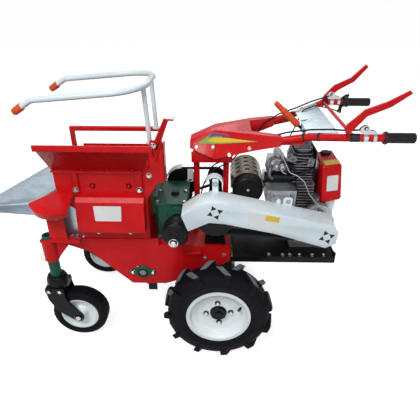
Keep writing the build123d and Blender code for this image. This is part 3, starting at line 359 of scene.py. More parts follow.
class HARVESTER_OT_finishes(bpy.types.Operator):
    """Make the paints, metals, rubbers and plastics"""

    bl_idname = "harvester.finishes"
    bl_label = "Finishes"

    def execute(self, context):
        tint = colours()
        # Painted light: the rims get a paler copy of the white paint, which stands in for more light falling on
        # them.
        rim_white_lit = [part + (1 - part) * 0.35 for part in tint.white]
        lug_tops = (0.2262, 0.2312)
        rows = [
            # maker, name, colour, then what that maker takes
            (gloss_paint, "red_paint", tint.red, 0.30, 0.03, PRIMER_CHIP, 0.13),
            (gloss_paint, "red_plastic", tint.red, 0.22, 0.02, (0.5, 0.03, 0.03), 0.18),
            (gloss_paint, "green_paint", tint.green, 0.32, 0.03, PRIMER_CHIP, 0.13),
            (gloss_paint, "white_paint", tint.white, 0.28, 0.06, PALE_CHIP),
            (gloss_paint, "wheel_white", rim_white_lit, 0.30, 0.04, PALE_CHIP),
            (gloss_paint, "black_metal", tint.black, 0.34, 0.02, PRIMER_CHIP, 0.1),
            (gloss_paint, "blank_white", tint.blank, 0.32, 0.08, PALE_CHIP),
            (gloss_paint, "blank_yellow", tint.yellow, 0.32, 0.08, PALE_CHIP),
            (gloss_paint, "stripe_green", tint.leaf, 0.28, 0.05, (0.3, 0.3, 0.2)),
            (gloss_paint, "stripe_yellow", tint.yellow, 0.28, 0.05, (0.4, 0.35, 0.2)),
            (gloss_paint, "stripe_violet", tint.violet, 0.28, 0.05, (0.2, 0.1, 0.2)),
            (sheet_metal, "silver_sheet", tint.silver, 0.34, (0.12, 1, 1)),
            (sheet_metal, "dark_steel", tint.steel, 0.42, (0.25, 1, 1)),
            (sheet_metal, "zinc", tint.zinc, 0.30, (1, 1, 1)),
            (sheet_metal, "heat_shield", tint.bronze, 0.24, (1, 0.2, 1), 1.0),
            (casting, "engine_alloy", tint.alloy, 0.40, 0.8),
            (tyre_rubber, "tyre_rubber", tint.rubber),
            (tyre_rubber, "lug_rubber", tint.rubber, at(*DRIVE_AXLE), lug_tops),
            (moulded, "belt_rubber", tint.rubber, 0.62, 0.0003),
            (moulded, "black_plastic", tint.plastic, 0.45, 0.00025),
            (moulded, "orange_plastic", tint.orange, 0.42, 0.00015),
        ]
        for maker, name, *settings in rows:
            FINISHES[name] = maker(name, *settings)
        return {"FINISHED"}


def at(x, y, z):
    """A point given in millimetres."""
    return Vector((x, y, z)) / 1000


def on_side(place, side):
    """A place in millimetres, its distance from the middle taken to the left (-1) or the right (1)."""
    x, y, z = place
    return at(x, side * y, z)


def around(count, start=0.0):
    """Angles of equal steps round a circle."""
    return [start + tau * step / count for step in range(count)]


def ring_frame(axis):
    """A direction and two that are square to it and to each other."""
    axis = Vector(axis).normalized()
    across = axis.cross(UP)
    if across.length < 0.01:
        across = axis.cross(REAR)
    across.normalize()
    return axis, across, axis.cross(across)


def circle(middle, across, over, radius, count):
    """Points of a circle about a middle."""
    return [middle + (across * cos(turn) + over * sin(turn)) * radius for turn in around(count)]


def rounded(points, radii, steps):
    """A path of points with its inner corners turned into arcs."""
    points = [Vector(point) for point in points]
    path = [points[0]]
    for index, radius in enumerate(radii, 1):
        corner = points[index]
        back = (points[index - 1] - corner).normalized()
        ahead = (points[index + 1] - corner).normalized()
        half = back.angle(ahead) / 2
        reach = radius * cos(half) / sin(half)
        middle = corner + (back + ahead).normalized() * (radius / sin(half))
        first = corner + back * reach - middle
        last = corner + ahead * reach - middle
        path += [middle + first.slerp(last, step / steps) * radius for step in range(steps + 1)]
    path.append(points[-1])
    return path


def round_outline(corners, radius, steps=5):
    """A closed outline with its corners turned into arcs."""
    return rounded([corners[-1], *corners, corners[0]], [radius] * len(corners), steps)[1:-1]


EDGE_ANGLE = radians(30)


def soften(made, width):
    """Round the sharp edges of a piece so that they catch the light."""
    bevel = made.modifiers.new("round edges", "BEVEL")
    bevel.width = width
    bevel.segments = 2
    bevel.limit_method = "ANGLE"
    bevel.angle_limit = EDGE_ANGLE
    bevel.harden_normals = True


def dress(node, finish, width):
    """Give a solid its finish and, where it has sharp edges, a small rounding."""
    made = frame["nodes"][node]
    made.data.materials.clear()
    made.data.materials.append(FINISHES[finish])
    made.data.shade_smooth()
    made.data.set_sharp_from_angle(angle=EDGE_ANGLE)
    if width:
        weld = made.modifiers.new("join", "WELD")
        weld.merge_threshold = 1e-6
        flat = made.modifiers.new("flats", "DECIMATE")
        flat.decimate_type = "DISSOLVE"
        flat.angle_limit = radians(0.5)
        soften(made, width)


class Mould:
    """Collects the shapes of one piece."""

    def __init__(self):
        self.bm = bmesh.new()

    def skin(self, rings, closed_along=False):
        """Faces between rings of the same number of points. A ring of one point is a tip."""
        made = [[self.bm.verts.new(point) for point in ring] for ring in rings]
        pairs = list(zip(made, made[1:])) + ([(made[-1], made[0])] if closed_along else [])
        for first, second in pairs:
            count = max(len(first), len(second))
            for index in range(count):
                after = (index + 1) % count
                if len(first) == 1:
                    corners = [first[0], second[after], second[index]]
                elif len(second) == 1:
                    corners = [first[index], first[after], second[0]]
                else:
                    corners = [first[index], first[after], second[after], second[index]]
                self.bm.faces.new(corners)
        return made

    def stack(self, rings):
        """A closed bar through rings of points, with a face at each end."""
        made = self.skin(rings)
        self.bm.faces.new(made[0])
        self.bm.faces.new(made[-1])

    def lathe(self, profile, origin, axis, segments, closed=False):
        """Turn a profile of (along, radius) in metres about an axis."""
        axis, across, over = ring_frame(axis)
        rings = []
        for along, radius in profile:
            middle = origin + axis * along
            is_tip = radius < 1e-6
            rings.append([middle] if is_tip else circle(middle, across, over, radius, segments))
        self.skin(rings, closed)

    def tube(self, path, radius, segments, capped=True):
        """A round bar along a path of points. The radius may be one for each point."""
        radii = radius if isinstance(radius, (list, tuple)) else [radius] * len(path)
        side = ring_frame(path[1] - path[0])[1]
        rings = []
        for index, point in enumerate(path):
            ahead = path[min(index + 1, len(path) - 1)] - path[max(index - 1, 0)]
            ahead.normalize()
            side = (side - ahead * side.dot(ahead)).normalized()
            rings.append(circle(point, side, ahead.cross(side), radii[index], segments))
        if capped:
            self.stack(rings)
        else:
            self.skin(rings)

    def rod(self, points, radius, segments):
        """A round bar through points in millimetres."""
        self.tube([at(*point) for point in points], radius, segments)

    def hose(self, points, bends, radius, segments, steps=6):
        """A round bar through points in millimetres, with arcs of the bends' radii at its corners."""
        self.tube(rounded([at(*point) for point in points], bends, steps), radius, segments)

    def plate(self, outline, thick):
        """A flat outline of points made as thick as the vector thick."""
        low = [self.bm.verts.new(point) for point in outline]
        high = [self.bm.verts.new(point + thick) for point in outline]
        self.bm.faces.new(low)
        self.bm.faces.new(high)
        for index in range(len(low)):
            after = (index + 1) % len(low)
            self.bm.faces.new([low[index], low[after], high[after], high[index]])

    def sheet(self, outline, near, far, corner=0.0):
        """An outline of X and Z made into a plate from one Y to another, in millimetres."""
        points = [at(x, near, z) for x, z in outline]
        if corner:
            points = round_outline(points, corner)
        self.plate(points, at(0, far - near, 0))

    def block(self, low, high):
        """A block between two corners in millimetres."""
        (x0, y0, z0), (x1, y1, z1) = low, high
        foot = [at(x, y, z0) for x, y in ((x0, y0), (x1, y0), (x1, y1), (x0, y1))]
        self.plate(foot, at(0, 0, z1 - z0))

    def slab(self, x, y, z, corner):
        """A block with round upright edges, from its ranges of X, Y and Z in millimetres."""
        front, rear = x[0] + corner, x[1] - corner
        left, right = y[0] + corner, y[1] - corner
        edge = []
        for quarter, middle in enumerate(((rear, right), (front, right), (front, left), (rear, left))):
            for step in range(7):
                turn = tau * (quarter / 4 + step / 24)
                edge.append(at(middle[0] + corner * cos(turn), middle[1] + corner * sin(turn), z[0]))
        self.plate(edge, at(0, 0, z[1] - z[0]))

    def bolt(self, place, axis, head, tall, washer):
        """A hexagon bolt head on a washer that is so many heads wide, standing on a surface."""
        axis, across, over = ring_frame(axis)
        wide = head * washer
        self.lathe([(0, 0), (0, wide), (tall * 0.22, wide), (tall * 0.3, head * 1.5)], place, axis, 20)
        steps = ((tall * 0.2, head), (tall * 0.9, head), (tall * 1.08, head * 0.84))
        made = self.skin([circle(place + axis * along, across, over, radius, 6) for along, radius in steps])
        self.bm.faces.new(made[-1])

    def piece(self, name, finish, body, sharp=32, round_edges=0.0, replaces=()):
        """Turn what was collected into a piece that rides on a body."""
        bmesh.ops.remove_doubles(self.bm, verts=self.bm.verts, dist=1e-7)
        bmesh.ops.recalc_face_normals(self.bm, faces=self.bm.faces)
        for face in self.bm.faces:
            face.smooth = True
        for edge in self.bm.edges:
            edge.smooth = edge.calc_face_angle(0) < radians(sharp)
        mesh = bpy.data.meshes.new(name)
        self.bm.to_mesh(mesh)
        self.bm.free()
        made = bpy.data.objects.new(name, mesh)
        bpy.context.scene.collection.objects.link(made)
        mesh.materials.append(FINISHES[finish])
        if round_edges:
            soften(made, round_edges)
        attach(made, body)
        if replaces:
            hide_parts(*replaces)


class HARVESTER_OT_panels(bpy.types.Operator):
    """Paint the solids and round the edges of the sheets and castings"""

    bl_idname = "harvester.panels"
    bl_label = "Panels and castings"

    sheets = (
        "belt_guard chassis_deck divider_left divider_right engine_bed gear_plate hopper_panel jackshaft_stand "
        "roll_pulley_guard stalk_decks strip_plates handle_post"
    ).split()
    castings = (
        "axle_case chopper_bearings engine_block engine_head handle_fairing rear_hitch roll_drive_box"
    ).split()
    # Painted shade: the rear hitch is painted black for the shadow under the engine bed. The jackshaft's stand
    # is black partly for the black pulley end behind it and partly for the shade behind the belt guard.
    blacked_for_shade = {"jackshaft_stand": "black_metal", "rear_hitch": "black_metal"}

    def execute(self, context):
        widths = {node: sizes().edge for node in self.sheets}
        widths.update({node: sizes().casting_edge for node in self.castings})
        for entry in frame["record"]["subparts"]:
            node = entry["node"]
            dress(node, self.blacked_for_shade.get(node, entry["material_slot"]), widths.get(node, 0.0))
        return {"FINISHED"}


class HARVESTER_OT_drive_wheels(bpy.types.Operator):
    """Build the lugged drive tyres with their nuts, hub caps and valves"""

    bl_idname = "harvester.drive_wheels"
    bl_label = "Drive wheels"

    wall = [
        # along the axle and radius, from the tread's middle to the bead
        (0, 217), (16, 216.4), (30, 214.5), (41, 210.5), (48, 204), (52.5, 193), (54.4, 180), (54.6, 171),
        (55.6, 169), (55.6, 165), (54.4, 163), (52.5, 150), (48, 139.5), (42, 132), (36, 128),
    ]
    lug = [
        # along and radius of the foot, along and radius of the top, from the tread's middle outwards
        (-4, 211, -4, 232.2), (24, 211, 24, 232.8), (42, 206, 44, 232), (46, 196, 53, 225),
        (46, 182, 55.6, 205), (47, 168, 54, 182),
    ]
    lug_count = 11
    lug_foot_half = 16
    lug_top_half = 12
    lug_lean = 2 / 3
    cap = [
        # along the axle and radius, in metres
        (0.0155, 0.036), (0.026, 0.034), (0.0295, 0.031), (0.0295, 0.022), (0.0288, 0.020), (0.0288, 0),
    ]
    nut_ring = 0.053
    valve_turn = 0.4

    def execute(self, context):
        for name, side in SIDES.items():
            centre = on_side(DRIVE_AXLE, side)
            self.tyre(centre, name)
            self.fittings(centre, Vector((0, side, 0)), name)
        return {"FINISHED"}

    def tyre(self, centre, name):
        """A tyre with arms of lugs that lean from its middle to both sides by turns."""
        mould = Mould()
        profile = [(-along, radius) for along, radius in reversed(self.wall)] + self.wall[1:]
        metres = [(along / 1000, radius / 1000) for along, radius in profile]
        mould.lathe(metres, centre, RIGHT, sizes().segments, closed=True)
        for arm, start in ((1, -0.25), (-1, -0.25 + 0.5 / self.lug_count)):
            for turn in around(self.lug_count, tau * start):
                mould.stack([self.lug_ring(centre, turn, arm, *row) for row in self.lug])
        mould.piece(
            f"lugged_tyre_{name}", "lug_rubber", f"drive_wheel_{name}",
            round_edges=0.0022, replaces=(f"drive_tyre_{name}",),
        )

    def lug_ring(self, centre, turn, arm, foot_along, foot_r, top_along, top_r):
        """The four corners of a lug at one place along the axle."""
        foot, top = self.lug_foot_half, self.lug_top_half
        corners = [(foot_along, foot_r, across) for across in (-foot, foot)]
        corners += [(top_along, top_r, across) for across in (top, -top)]
        tread = self.wall[0][1]
        points = []
        for along, radius, across in corners:
            angle = turn + (across - self.lug_lean * (along - self.lug[0][0])) / tread
            points.append(centre + at(cos(angle) * radius, arm * along, sin(angle) * radius))
        return points

    def fittings(self, centre, out, name):
        """The nuts, hub cap and valve of a wheel."""
        body = f"drive_wheel_{name}"
        nuts = Mould()
        for turn in around(4, tau * 0.01):
            spot = Vector((cos(turn), 0, sin(turn))) * self.nut_ring
            nuts.bolt(centre + spot + out * 0.016, out, 0.0085, 0.010, 1.5)
        nuts.piece(f"wheel_nuts_{name}", "zinc", body)
        hub = Mould()
        hub.lathe(self.cap, centre, out, 40)
        hub.bolt(centre + out * 0.0285, out, 0.012, 0.006, 1.2)
        hub.piece(f"hub_cap_{name}", "black_metal", body)
        valve = Mould()
        spoke = Vector((cos(self.valve_turn), 0, sin(self.valve_turn)))
        foot = centre + spoke * 0.108 + out * 0.022
        tip = centre + spoke * 0.090 + out * 0.046
        path = [foot, foot.lerp(tip, 0.5), foot.lerp(tip, 0.52), tip]
        valve.tube(path, [0.0042, 0.0042, 0.0055, 0.005], 14)
        valve.piece(f"valve_{name}", "black_plastic", body)


class HARVESTER_OT_casters(bpy.types.Operator):
    """Build the block tread of the caster tyres and the nuts of their axles"""

    bl_idname = "harvester.casters"
    bl_label = "Casters"

    half = [
        # along the axle, radius, row of blocks or None, from the middle outwards
        (0.5, 121.5, None), (0.9, 124.8, 0), (12.5, 124.8, 0), (13.2, 121.5, None), (14.4, 121.5, None),
        (15, 124.8, 2), (27, 123.6, 2), (30.5, 120.5, None), (35.5, 114, None), (37.8, 105, None),
        (37, 96, None), (33, 88, None), (26, 82.3, None),
    ]
    blocks = 30
    steps_to_block = 5
    gap_depth = 3.4
    fork_half = 0.054

    def execute(self, context):
        for name, side in SIDES.items():
            centre = on_side(CASTER_AXLE, side)
            self.tyre(centre, name)
            nuts = Mould()
            for out in (LEFT, RIGHT):
                nuts.bolt(centre + out * self.fork_half, out, 0.0125, 0.0075, 1.45)
            nuts.piece(f"caster_nuts_{name}", "zinc", f"caster_{name}")
        return {"FINISHED"}

    def tyre(self, centre, name):
        """A tyre whose rows of blocks are cut by gaps, each row's a little further round."""
        mould = Mould()
        left = [
            (-along, radius, None if row is None else row + 1) for along, radius, row in reversed(self.half)
        ]
        rings = []
        for along, radius, row in left + self.half:
            ring = []
            for step, turn in enumerate(around(self.blocks * self.steps_to_block)):
                is_gap = row is not None and (step + 2 * row) % self.steps_to_block == 0
                reach = radius - (self.gap_depth if is_gap else 0)
                ring.append(centre + at(cos(turn) * reach, along, sin(turn) * reach))
            rings.append(ring)
        mould.skin(rings, closed_along=True)
        mould.piece(
            f"block_tyre_{name}", "tyre_rubber", f"caster_wheel_{name}", 28, replaces=(f"caster_tyre_{name}",),
        )


class HARVESTER_OT_shell(bpy.types.Operator):
    """Build the chassis plates, header walls and back, covers, rail and latch bar"""

    bl_idname = "harvester.shell"
    bl_label = "Chassis and header sheets"

    # Outlines of X and Z, and for the cover of Y and Z
    chassis = [
        (-385, 506), (-389, 473), (-282, 432), (-113, 262), (40, 262), (200, 320), (330, 395), (330, 470),
        (20, 470), (20, 506),
    ]
    wall = [(-300, 506), (-20, 506), (-20, 825), (-380, 825), (-380, 690), (-300, 640)]
    back = [(-20, 470), (-14, 470), (-14, 702), (16, 896), (26, 896), (26, 902), (10, 902), (-20, 704)]
    cheek = [(-21, 690), (34, 768), (64, 772), (66, 930), (58, 946), (14, 946), (-21, 827)]
    strip = [(42, 772), (64, 775), (66, 928), (60, 942), (44, 940)]
    cover = [(200, 717), (226, 717), (241, 699), (258, 573), (254, 566), (200, 566)]
    latch = [(14, 905), (44, 905), (88, 1022), (83, 1031), (72, 1032)]
    latch_front = [(14, 905), (20, 905), (77, 1030), (72, 1032)]
    latch_rear = [(39, 905), (44, 905), (88, 1022), (84, 1025)]
    wall_top = 825
    far_wall_drop = 37

    def execute(self, context):
        self.plates()
        self.covers()
        self.rail()
        return {"FINISHED"}

    def plates(self):
        """The chassis plates, the header's walls and its back with a cheek on the left."""
        chassis = Mould()
        walls = Mould()
        for side in SIDES.values():
            chassis.sheet(self.chassis, side * 195, side * 201)
            chassis.block((-384, side * 203.5 - 3.5, 501), (20, side * 203.5 + 3.5, 506))
            drop = self.far_wall_drop if side > 0 else 0
            edge = [(x, z - drop if z == self.wall_top else z) for x, z in self.wall]
            walls.sheet(edge, side * 195, side * 200)
        back = Mould()
        back.sheet(self.cheek, -193, -198)
        back.sheet(self.strip, -198, -202)
        back.block((60, -202, 775), (65, -150, 930))
        back.sheet(self.back, -199, 199)
        for mould, name, node in (
            (chassis, "chassis_plates", "chassis_sides"),
            (walls, "header_walls", "header_sides"),
            (back, "header_back_sheet", "header_back"),
        ):
            mould.piece(name, "red_paint", "frame", round_edges=sizes().edge, replaces=(node,))

    def covers(self):
        """The stub under the chassis and the folded boxes on the header's sides."""
        stub = Mould()
        stub.block((-43, -199, 222), (-3, -187, 276))
        stub.block((-37, -187.5, 228), (-9, -172, 276))
        stub.piece("deck_stub", "black_metal", "frame", round_edges=0.0012)
        covers = Mould()
        for side in SIDES.values():
            covers.plate([at(-298, side * y, z) for y, z in self.cover], at(276, 0, 0))
        covers.piece("folded_covers", "red_paint", "frame", round_edges=0.0016, replaces=("side_covers",))

    def rail(self):
        """The square rail on the right and the folded latch bar on the left."""
        rail = Mould()
        rail.block((-411, 130, 470), (-391, 150, 891))
        rail.block((-391.5, 130, 871), (12, 150, 891))
        rail.piece("rail_tube", "red_paint", "frame", round_edges=0.0025, replaces=("guard_rail",))
        latch = Mould()
        latch.sheet(self.latch, -201, -204)
        latch.sheet(self.latch_front, -204, -213)
        latch.sheet(self.latch_rear, -204, -213)
        latch.rod([(76, -207, 1026), (96, -207, 1028), (108, -207, 1026)], 0.0038, 14)
        latch.piece("latch_bar", "red_paint", "frame", round_edges=0.001, replaces=("latch_lever",))


class HARVESTER_OT_guide(bpy.types.Operator):
    """Build the guide loop, its posts and its end caps"""

    bl_idname = "harvester.guide"
    bl_label = "Guide loop"

    route = [(-479, 187, 1048), (-412, 187, 1091), (0, 187, 1126)]
    bends = [0.045, 0.13, 0.13, 0.045]
    collar = [(0, 0.0096), (0, 0.018), (0.005, 0.018), (0.005, 0.0096)]
    cap = [
        # along the tube and radius, in metres
        (-0.005, 0), (-0.005, 0.0085), (-0.004, 0.0115), (0, 0.0138), (0.035, 0.0148), (0.0375, 0.0142),
        (0.038, 0.0116),
    ]

    def execute(self, context):
        loop = Mould()
        left = [(x, -y, z) for x, y, z in self.route]
        loop.hose(left + self.route[::-1], self.bends, 0.0115, 24, 14)
        caps = Mould()
        for side in SIDES.values():
            loop.rod([(-14, side * 95, 1124), (-4, side * 95, 894)], 0.0095, 20)
            loop.lathe(self.collar, at(-3, side * 95, 899), UP, 24)
            start, bend = [on_side(place, side) for place in self.route[:2]]
            caps.lathe(self.cap, start, bend - start, 32)
        loop.piece("guide_tube", "white_paint", "frame", replaces=("guide_loop",))
        caps.piece("end_caps", "orange_plastic", "frame", replaces=("guide_caps",))
        return {"FINISHED"}


class HARVESTER_OT_forks(bpy.types.Operator):
    """Build the casters' arms, sleeves, stem tubes and yokes"""

    bl_idname = "harvester.forks"
    bl_label = "Caster arms and forks"

    # Outlines of X and Z
    upright = [(-424, 524), (-350, 524), (-356, 716), (-424, 716)]
    gusset = [(-420, 424), (-412, 424), (-336, 521), (-420, 521)]
    cheek_front = [(-482, 268), (-404, 268), (-396, 224), (-339, 142)]
    cheek_back = [(-450, 168), (-478, 232)]
    cheek_foot = 25
    # Profiles of height and radius about the stem, in metres
    sleeve = [
        (0.418, 0.0243), (0.418, 0.0295), (0.4195, 0.031), (0.5185, 0.031), (0.52, 0.0295), (0.52, 0.0243),
    ]
    tube = [(0.2905, 0.0152), (0.2905, 0.024), (0.540, 0.024), (0.5412, 0.0228), (0.5412, 0.0152)]
    collar = [
        (0.2895, 0.0252), (0.2895, 0.047), (0.318, 0.0455), (0.334, 0.038), (0.336, 0.036), (0.336, 0.0252),
    ]
    pin = [(0.28, 0), (0.28, 0.014), (0.53, 0.014), (0.532, 0.012), (0.532, 0)]

    def execute(self, context):
        arms = Mould()
        tubes = Mould()
        for name, side in SIDES.items():
            stem = on_side(CASTER_STEM, side)
            arms.block((-467, side * 231 - 31, 520), (-300, side * 231 + 31, 529))
            arms.sheet(self.upright, side * 245, side * 251)
            arms.sheet(self.gusset, side * 229, side * 237)
            arms.lathe(self.sleeve, stem, UP, 40, True)
            tubes.lathe(self.tube, stem, UP, 40, True)
            self.yoke(stem, side * CASTER_STEM[1], name)
        arms.piece("caster_arms", "red_paint", "frame", round_edges=0.0012, replaces=("caster_brackets",))
        tubes.piece("stem_tubes", "green_paint", "frame", replaces=("caster_tubes",))
        return {"FINISHED"}

    def yoke(self, stem, y, name):
        """A fork with its collar, pin, axle and bolts, about a middle at Y."""
        mould = Mould()
        bolts = Mould()
        axle_x, _, axle_z = CASTER_AXLE
        turns = [radians(turn) for turn in range(36, -150, -24)]
        foot = [(axle_x + self.cheek_foot * cos(t), axle_z + self.cheek_foot * sin(t)) for t in turns]
        for out in (-1, 1):
            mould.sheet(self.cheek_front + foot + self.cheek_back, y + out * 46, y + out * 54)
            for x in (-466, -418):
                bolts.bolt(at(x, y + out * 54, 277), (0, out, 0), 0.008, 0.007, 1.4)
        mould.block((-485, y - 54, 264), (-401, y + 54, 290))
        mould.lathe(self.collar, stem, UP, 40, True)
        mould.lathe(self.pin, stem, UP, 24)
        mould.rod([(axle_x, y - 59, axle_z), (axle_x, y + 59, axle_z)], 0.008, 20)
        mould.piece(
            f"caster_yoke_{name}", "black_metal", f"caster_{name}",
            round_edges=0.003, replaces=(f"caster_fork_{name}",),
        )
        bolts.piece(f"yoke_bolts_{name}", "zinc", f"caster_{name}")


class HARVESTER_OT_header(bpy.types.Operator):
    """Add the bolts, rings, hooks, bearing seals and blank plates of the header and hopper"""

    bl_idname = "harvester.header"
    bl_label = "Header fittings"

    zinc_bolts = [
        # X, Y, Z and the way the head points
        (-295, -212, 743, LEFT), (-40, -212, 743, LEFT), (-233, -200, 537, LEFT), (-97, -200, 537, LEFT),
        (-412, -251, 634, LEFT), (-383, -251, 634, LEFT), (-105, -208, 330, LEFT), (-15, -208, 330, LEFT),
        (-412, 251, 634, RIGHT), (-383, 251, 634, RIGHT), (-105, 208, 330, RIGHT), (-15, 208, 330, RIGHT),
        (-295, 200, 743, RIGHT), (-40, 200, 743, RIGHT), (-233, 200, 537, RIGHT), (-97, 200, 537, RIGHT),
        (-340, -222, 529, UP), (-318, -222, 529, UP), (-340, 222, 529, UP), (-318, 222, 529, UP),
        (0, -198, 800, LEFT), (26, -213, 930, LEFT),
    ]
    red_bolts = [
        (-259, -209, 825, UP), (-159, -209, 825, UP), (-63, -209, 825, UP),
        (-228, -200, 756, LEFT), (-83, -200, 756, LEFT),
    ]
    rings = [
        # X, Y, Z, half width and half height
        (-8, -204, 863, 9, 34), (28, -205, 895, 9, 24),
    ]
    hook = [(94, -207, 1028), (108, -207, 1030), (113, -207, 1034), (109, -207, 1038), (101, -207, 1037)]
    seal = [(0.0002, 0.0215), (0.003, 0.021), (0.004, 0.019), (0.0012, 0.0175), (0.0012, 0.0155)]
    cover_sign = [(-222, -251.6, 622), (-116, -251.6, 622), (-113, -242.9, 686), (-225, -242.9, 686)]

    def execute(self, context):
        for name, rows, finish in (
            ("panel_bolts", self.zinc_bolts, "zinc"),
            ("painted_bolts", self.red_bolts, "red_paint"),
        ):
            bolts = Mould()
            for x, y, z, way in rows:
                bolts.bolt(at(x, y, z), way, sizes().bolt, 0.006, 1.6)
            bolts.piece(name, finish, "frame")
        self.latches()
        self.bearings()
        self.plates()
        return {"FINISHED"}

    def latches(self):
        """The latch's rings and pins, and the wire hooks."""
        rings = Mould()
        for x, y, z, wide, tall in self.rings:
            turns = [tau * step / 32 for step in range(33)]
            oval = [at(x + wide * cos(turn), y, z + tall * sin(turn)) for turn in turns]
            rings.tube(oval, 0.0036, 12, capped=False)
        rings.rod([(-10, -199, 896), (-10, -206, 898), (-10, -211, 892)], 0.004, 10)
        rings.rod([(28, -197, 920), (28, -206, 920), (28, -209, 912)], 0.004, 10)
        rings.piece("latch_rings", "red_paint", "frame")
        hooks = Mould()
        hooks.hose(self.hook, [0.005, 0.004, 0.004], 0.0026, 10, 5)
        hooks.rod([(-458, -260, 466), (-472, -268, 456), (-478, -264, 438), (-462, -260, 428)], 0.0024, 10)
        hooks.piece("wire_hooks", "zinc", "frame")

    def bearings(self):
        """The seals and grease nipples of the chopper's bearings."""
        seals = Mould()
        nipples = Mould()
        for side in SIDES.values():
            seals.lathe(self.seal, at(-60, side * 214, 330), (0, side, 0), 40)
            foot = at(-78, side * 205, 358)
            tip = foot + at(-6, side * 6, 9)
            path = [foot, foot.lerp(tip, 0.5), foot.lerp(tip, 0.55), tip]
            nipples.tube(path, [0.004, 0.004, 0.0028, 0.0032], 12)
        seals.piece("bearing_seals", "black_metal", "frame")
        nipples.piece("grease_nipples", "zinc", "frame")

    def plates(self):
        """The pale slot in the chassis plate and the blank sign on the cover."""
        slot = Mould()
        edge = []
        for z, start in ((462, 0), (450, pi)):
            turns = [start + pi * step / 8 for step in range(9)]
            edge += [(-38 + 4 * cos(turn), z + 4 * sin(turn)) for turn in turns]
        slot.sheet(edge, -200.05, -200.65)
        slot.piece("slot_plate", "blank_white", "frame")
        sign = Mould()
        corners = [at(*corner) for corner in self.cover_sign]
        sign.plate(round_outline(corners, 0.004), at(0, -0.5, -0.07))
        sign.piece("blank_cover_plate", "blank_white", "frame", round_edges=0.0002)


class HARVESTER_OT_gearbox(bpy.types.Operator):
    """Build the gearbox's housing, its bolts and plug, the clutch pulley and the ribs of the belt"""

    bl_idname = "harvester.gearbox"
    bl_label = "Gearbox and belts"

    boss = [(0, 0.050), (0.008, 0.049), (0.012, 0.044), (0.012, 0.036), (0.03, 0.033), (0.03, 0)]
    plug_washer = [(0, 0.019), (0.0035, 0.019), (0.0042, 0.0165), (0.0042, 0)]
    finger = [(129, 648), (156, 648), (158, 706), (152, 712), (131, 712)]
    pulley = [
        # along the shaft and radius of the clutch pulley, in metres, up to its cone
        (0, 0.028), (0.082, 0.028), (0.084, 0.050), (0.090, 0.053), (0.112, 0.053), (0.116, 0.046),
        (0.128, 0.046), (0.132, 0.053), (0.150, 0.052), (0.154, 0.047),
    ]
    cone_steps = 5
    cone_start = (0.156, 0.044)
    cone_step = (0.009, -0.0055)
    cone_groove = 0.005
    pulleys = [
        # X, Z and radius of the belt's outside at the jackshaft and at the engine
        (262, 660, 70.1), (702, 590, 34.1),
    ]
    belt_edges = (-288, -248)
    rib_count = 150
    rib = [
        # along the belt and out of it, in millimetres
        (-2, 0), (2, 0), (1.2, 2.6), (-1.2, 2.6),
    ]

    def execute(self, context):
        self.housing()
        self.fittings()
        self.clutch()
        self.ribs()
        return {"FINISHED"}

    def housing(self):
        """The rounded box with its two flanges and the bosses of its shaft."""
        housing = Mould()
        housing.slab((8, 138), (-146, 76), (470, 640), 14)
        housing.slab((4, 142), (-150, 80), (638, 650), 7)
        housing.slab((4, 142), (-150, 80), (470, 482), 7)
        housing.lathe(self.boss, at(103, -144, 588), LEFT, 40)
        housing.lathe(self.boss, at(103, 74, 588), RIGHT, 40)
        housing.piece("gear_housing", "green_paint", "frame", round_edges=0.003, replaces=("gearbox",))

    def fittings(self):
        """The bolts of the flanges and the shaft, the plug and the belt's finger."""
        bolts = Mould()
        for x in (16, 130):
            for y in (-138, -35, 68):
                bolts.bolt(at(x, y, 650), UP, 0.0075, 0.007, 1.5)
            for y in (-142, 72):
                bolts.bolt(at(x, y, 482), UP, 0.0085, 0.008, 1.5)
        bolts.bolt(at(103, -351, 588), LEFT, 0.0125, 0.012, 1.2)
        bolts.piece("gearbox_bolts", "zinc", "frame")
        plug = Mould()
        plug.block((71.5, -68.5, 650.2), (98.5, -41.5, 664))
        plug.lathe(self.plug_washer, at(85, -55, 650), UP, 32)
        plug.piece("gearbox_plug", "black_plastic", "frame", round_edges=0.0018)
        finger = Mould()
        finger.sheet(self.finger, 72, 75)
        finger.piece("belt_finger", "white_paint", "frame", round_edges=0.0008)

    def clutch(self):
        """The stepped clutch pulley with the grooved cone at its end."""
        profile = list(self.pulley)
        for step in range(self.cone_steps):
            along, radius = [start + grow * step for start, grow in zip(self.cone_start, self.cone_step)]
            low = radius - self.cone_groove
            profile += [(along, radius), (along + 0.0045, radius), (along + 0.006, low), (along + 0.0085, low)]
        profile += [(0.201, 0.016), (0.201, 0)]
        mould = Mould()
        mould.lathe(profile, at(103, -150, 588), LEFT, 64)
        mould.piece("clutch_housing", "black_metal", "frame", replaces=("clutch_pulley",))

    def belt_path(self):
        """Points in millimetres round the outside of the belt, and the middle between its pulleys."""
        (x1, z1, r1), (x2, z2, r2) = self.pulleys
        first, second = Vector((x1, 0, z1)), Vector((x2, 0, z2))
        gap = second - first
        lean = gap.angle(REAR) * (1 if gap.z > 0 else -1)
        spread = acos((r1 - r2) / gap.length)
        arcs = [(first, r1, lean + spread + (tau - 2 * spread) * step / 20) for step in range(21)]
        arcs += [(second, r2, lean - spread + 2 * spread * step / 12) for step in range(13)]
        path = [middle + Vector((cos(turn), 0, sin(turn))) * radius for middle, radius, turn in arcs]
        return path + path[:1], (first + second) / 2

    def ribs(self):
        """Ribs at equal steps along the outside of the belt."""
        mould = Mould()
        path, middle = self.belt_path()
        runs = [(b - a).length for a, b in zip(path, path[1:])]
        pitch = sum(runs) / self.rib_count
        place = 0.0
        for a, b, run in zip(path, path[1:], runs):
            along = (b - a).normalized()
            out = Vector((along.z, 0, -along.x))
            if out.dot((a + b) / 2 - middle) < 0:
                out = -out
            while place < run:
                foot = a + along * place
                edge = [foot + along * ahead + out * rise for ahead, rise in self.rib]
                mould.sheet([(point.x, point.z) for point in edge], *self.belt_edges)
                place += pitch
            place -= run
        mould.piece("belt_ribs", "belt_rubber", "frame")


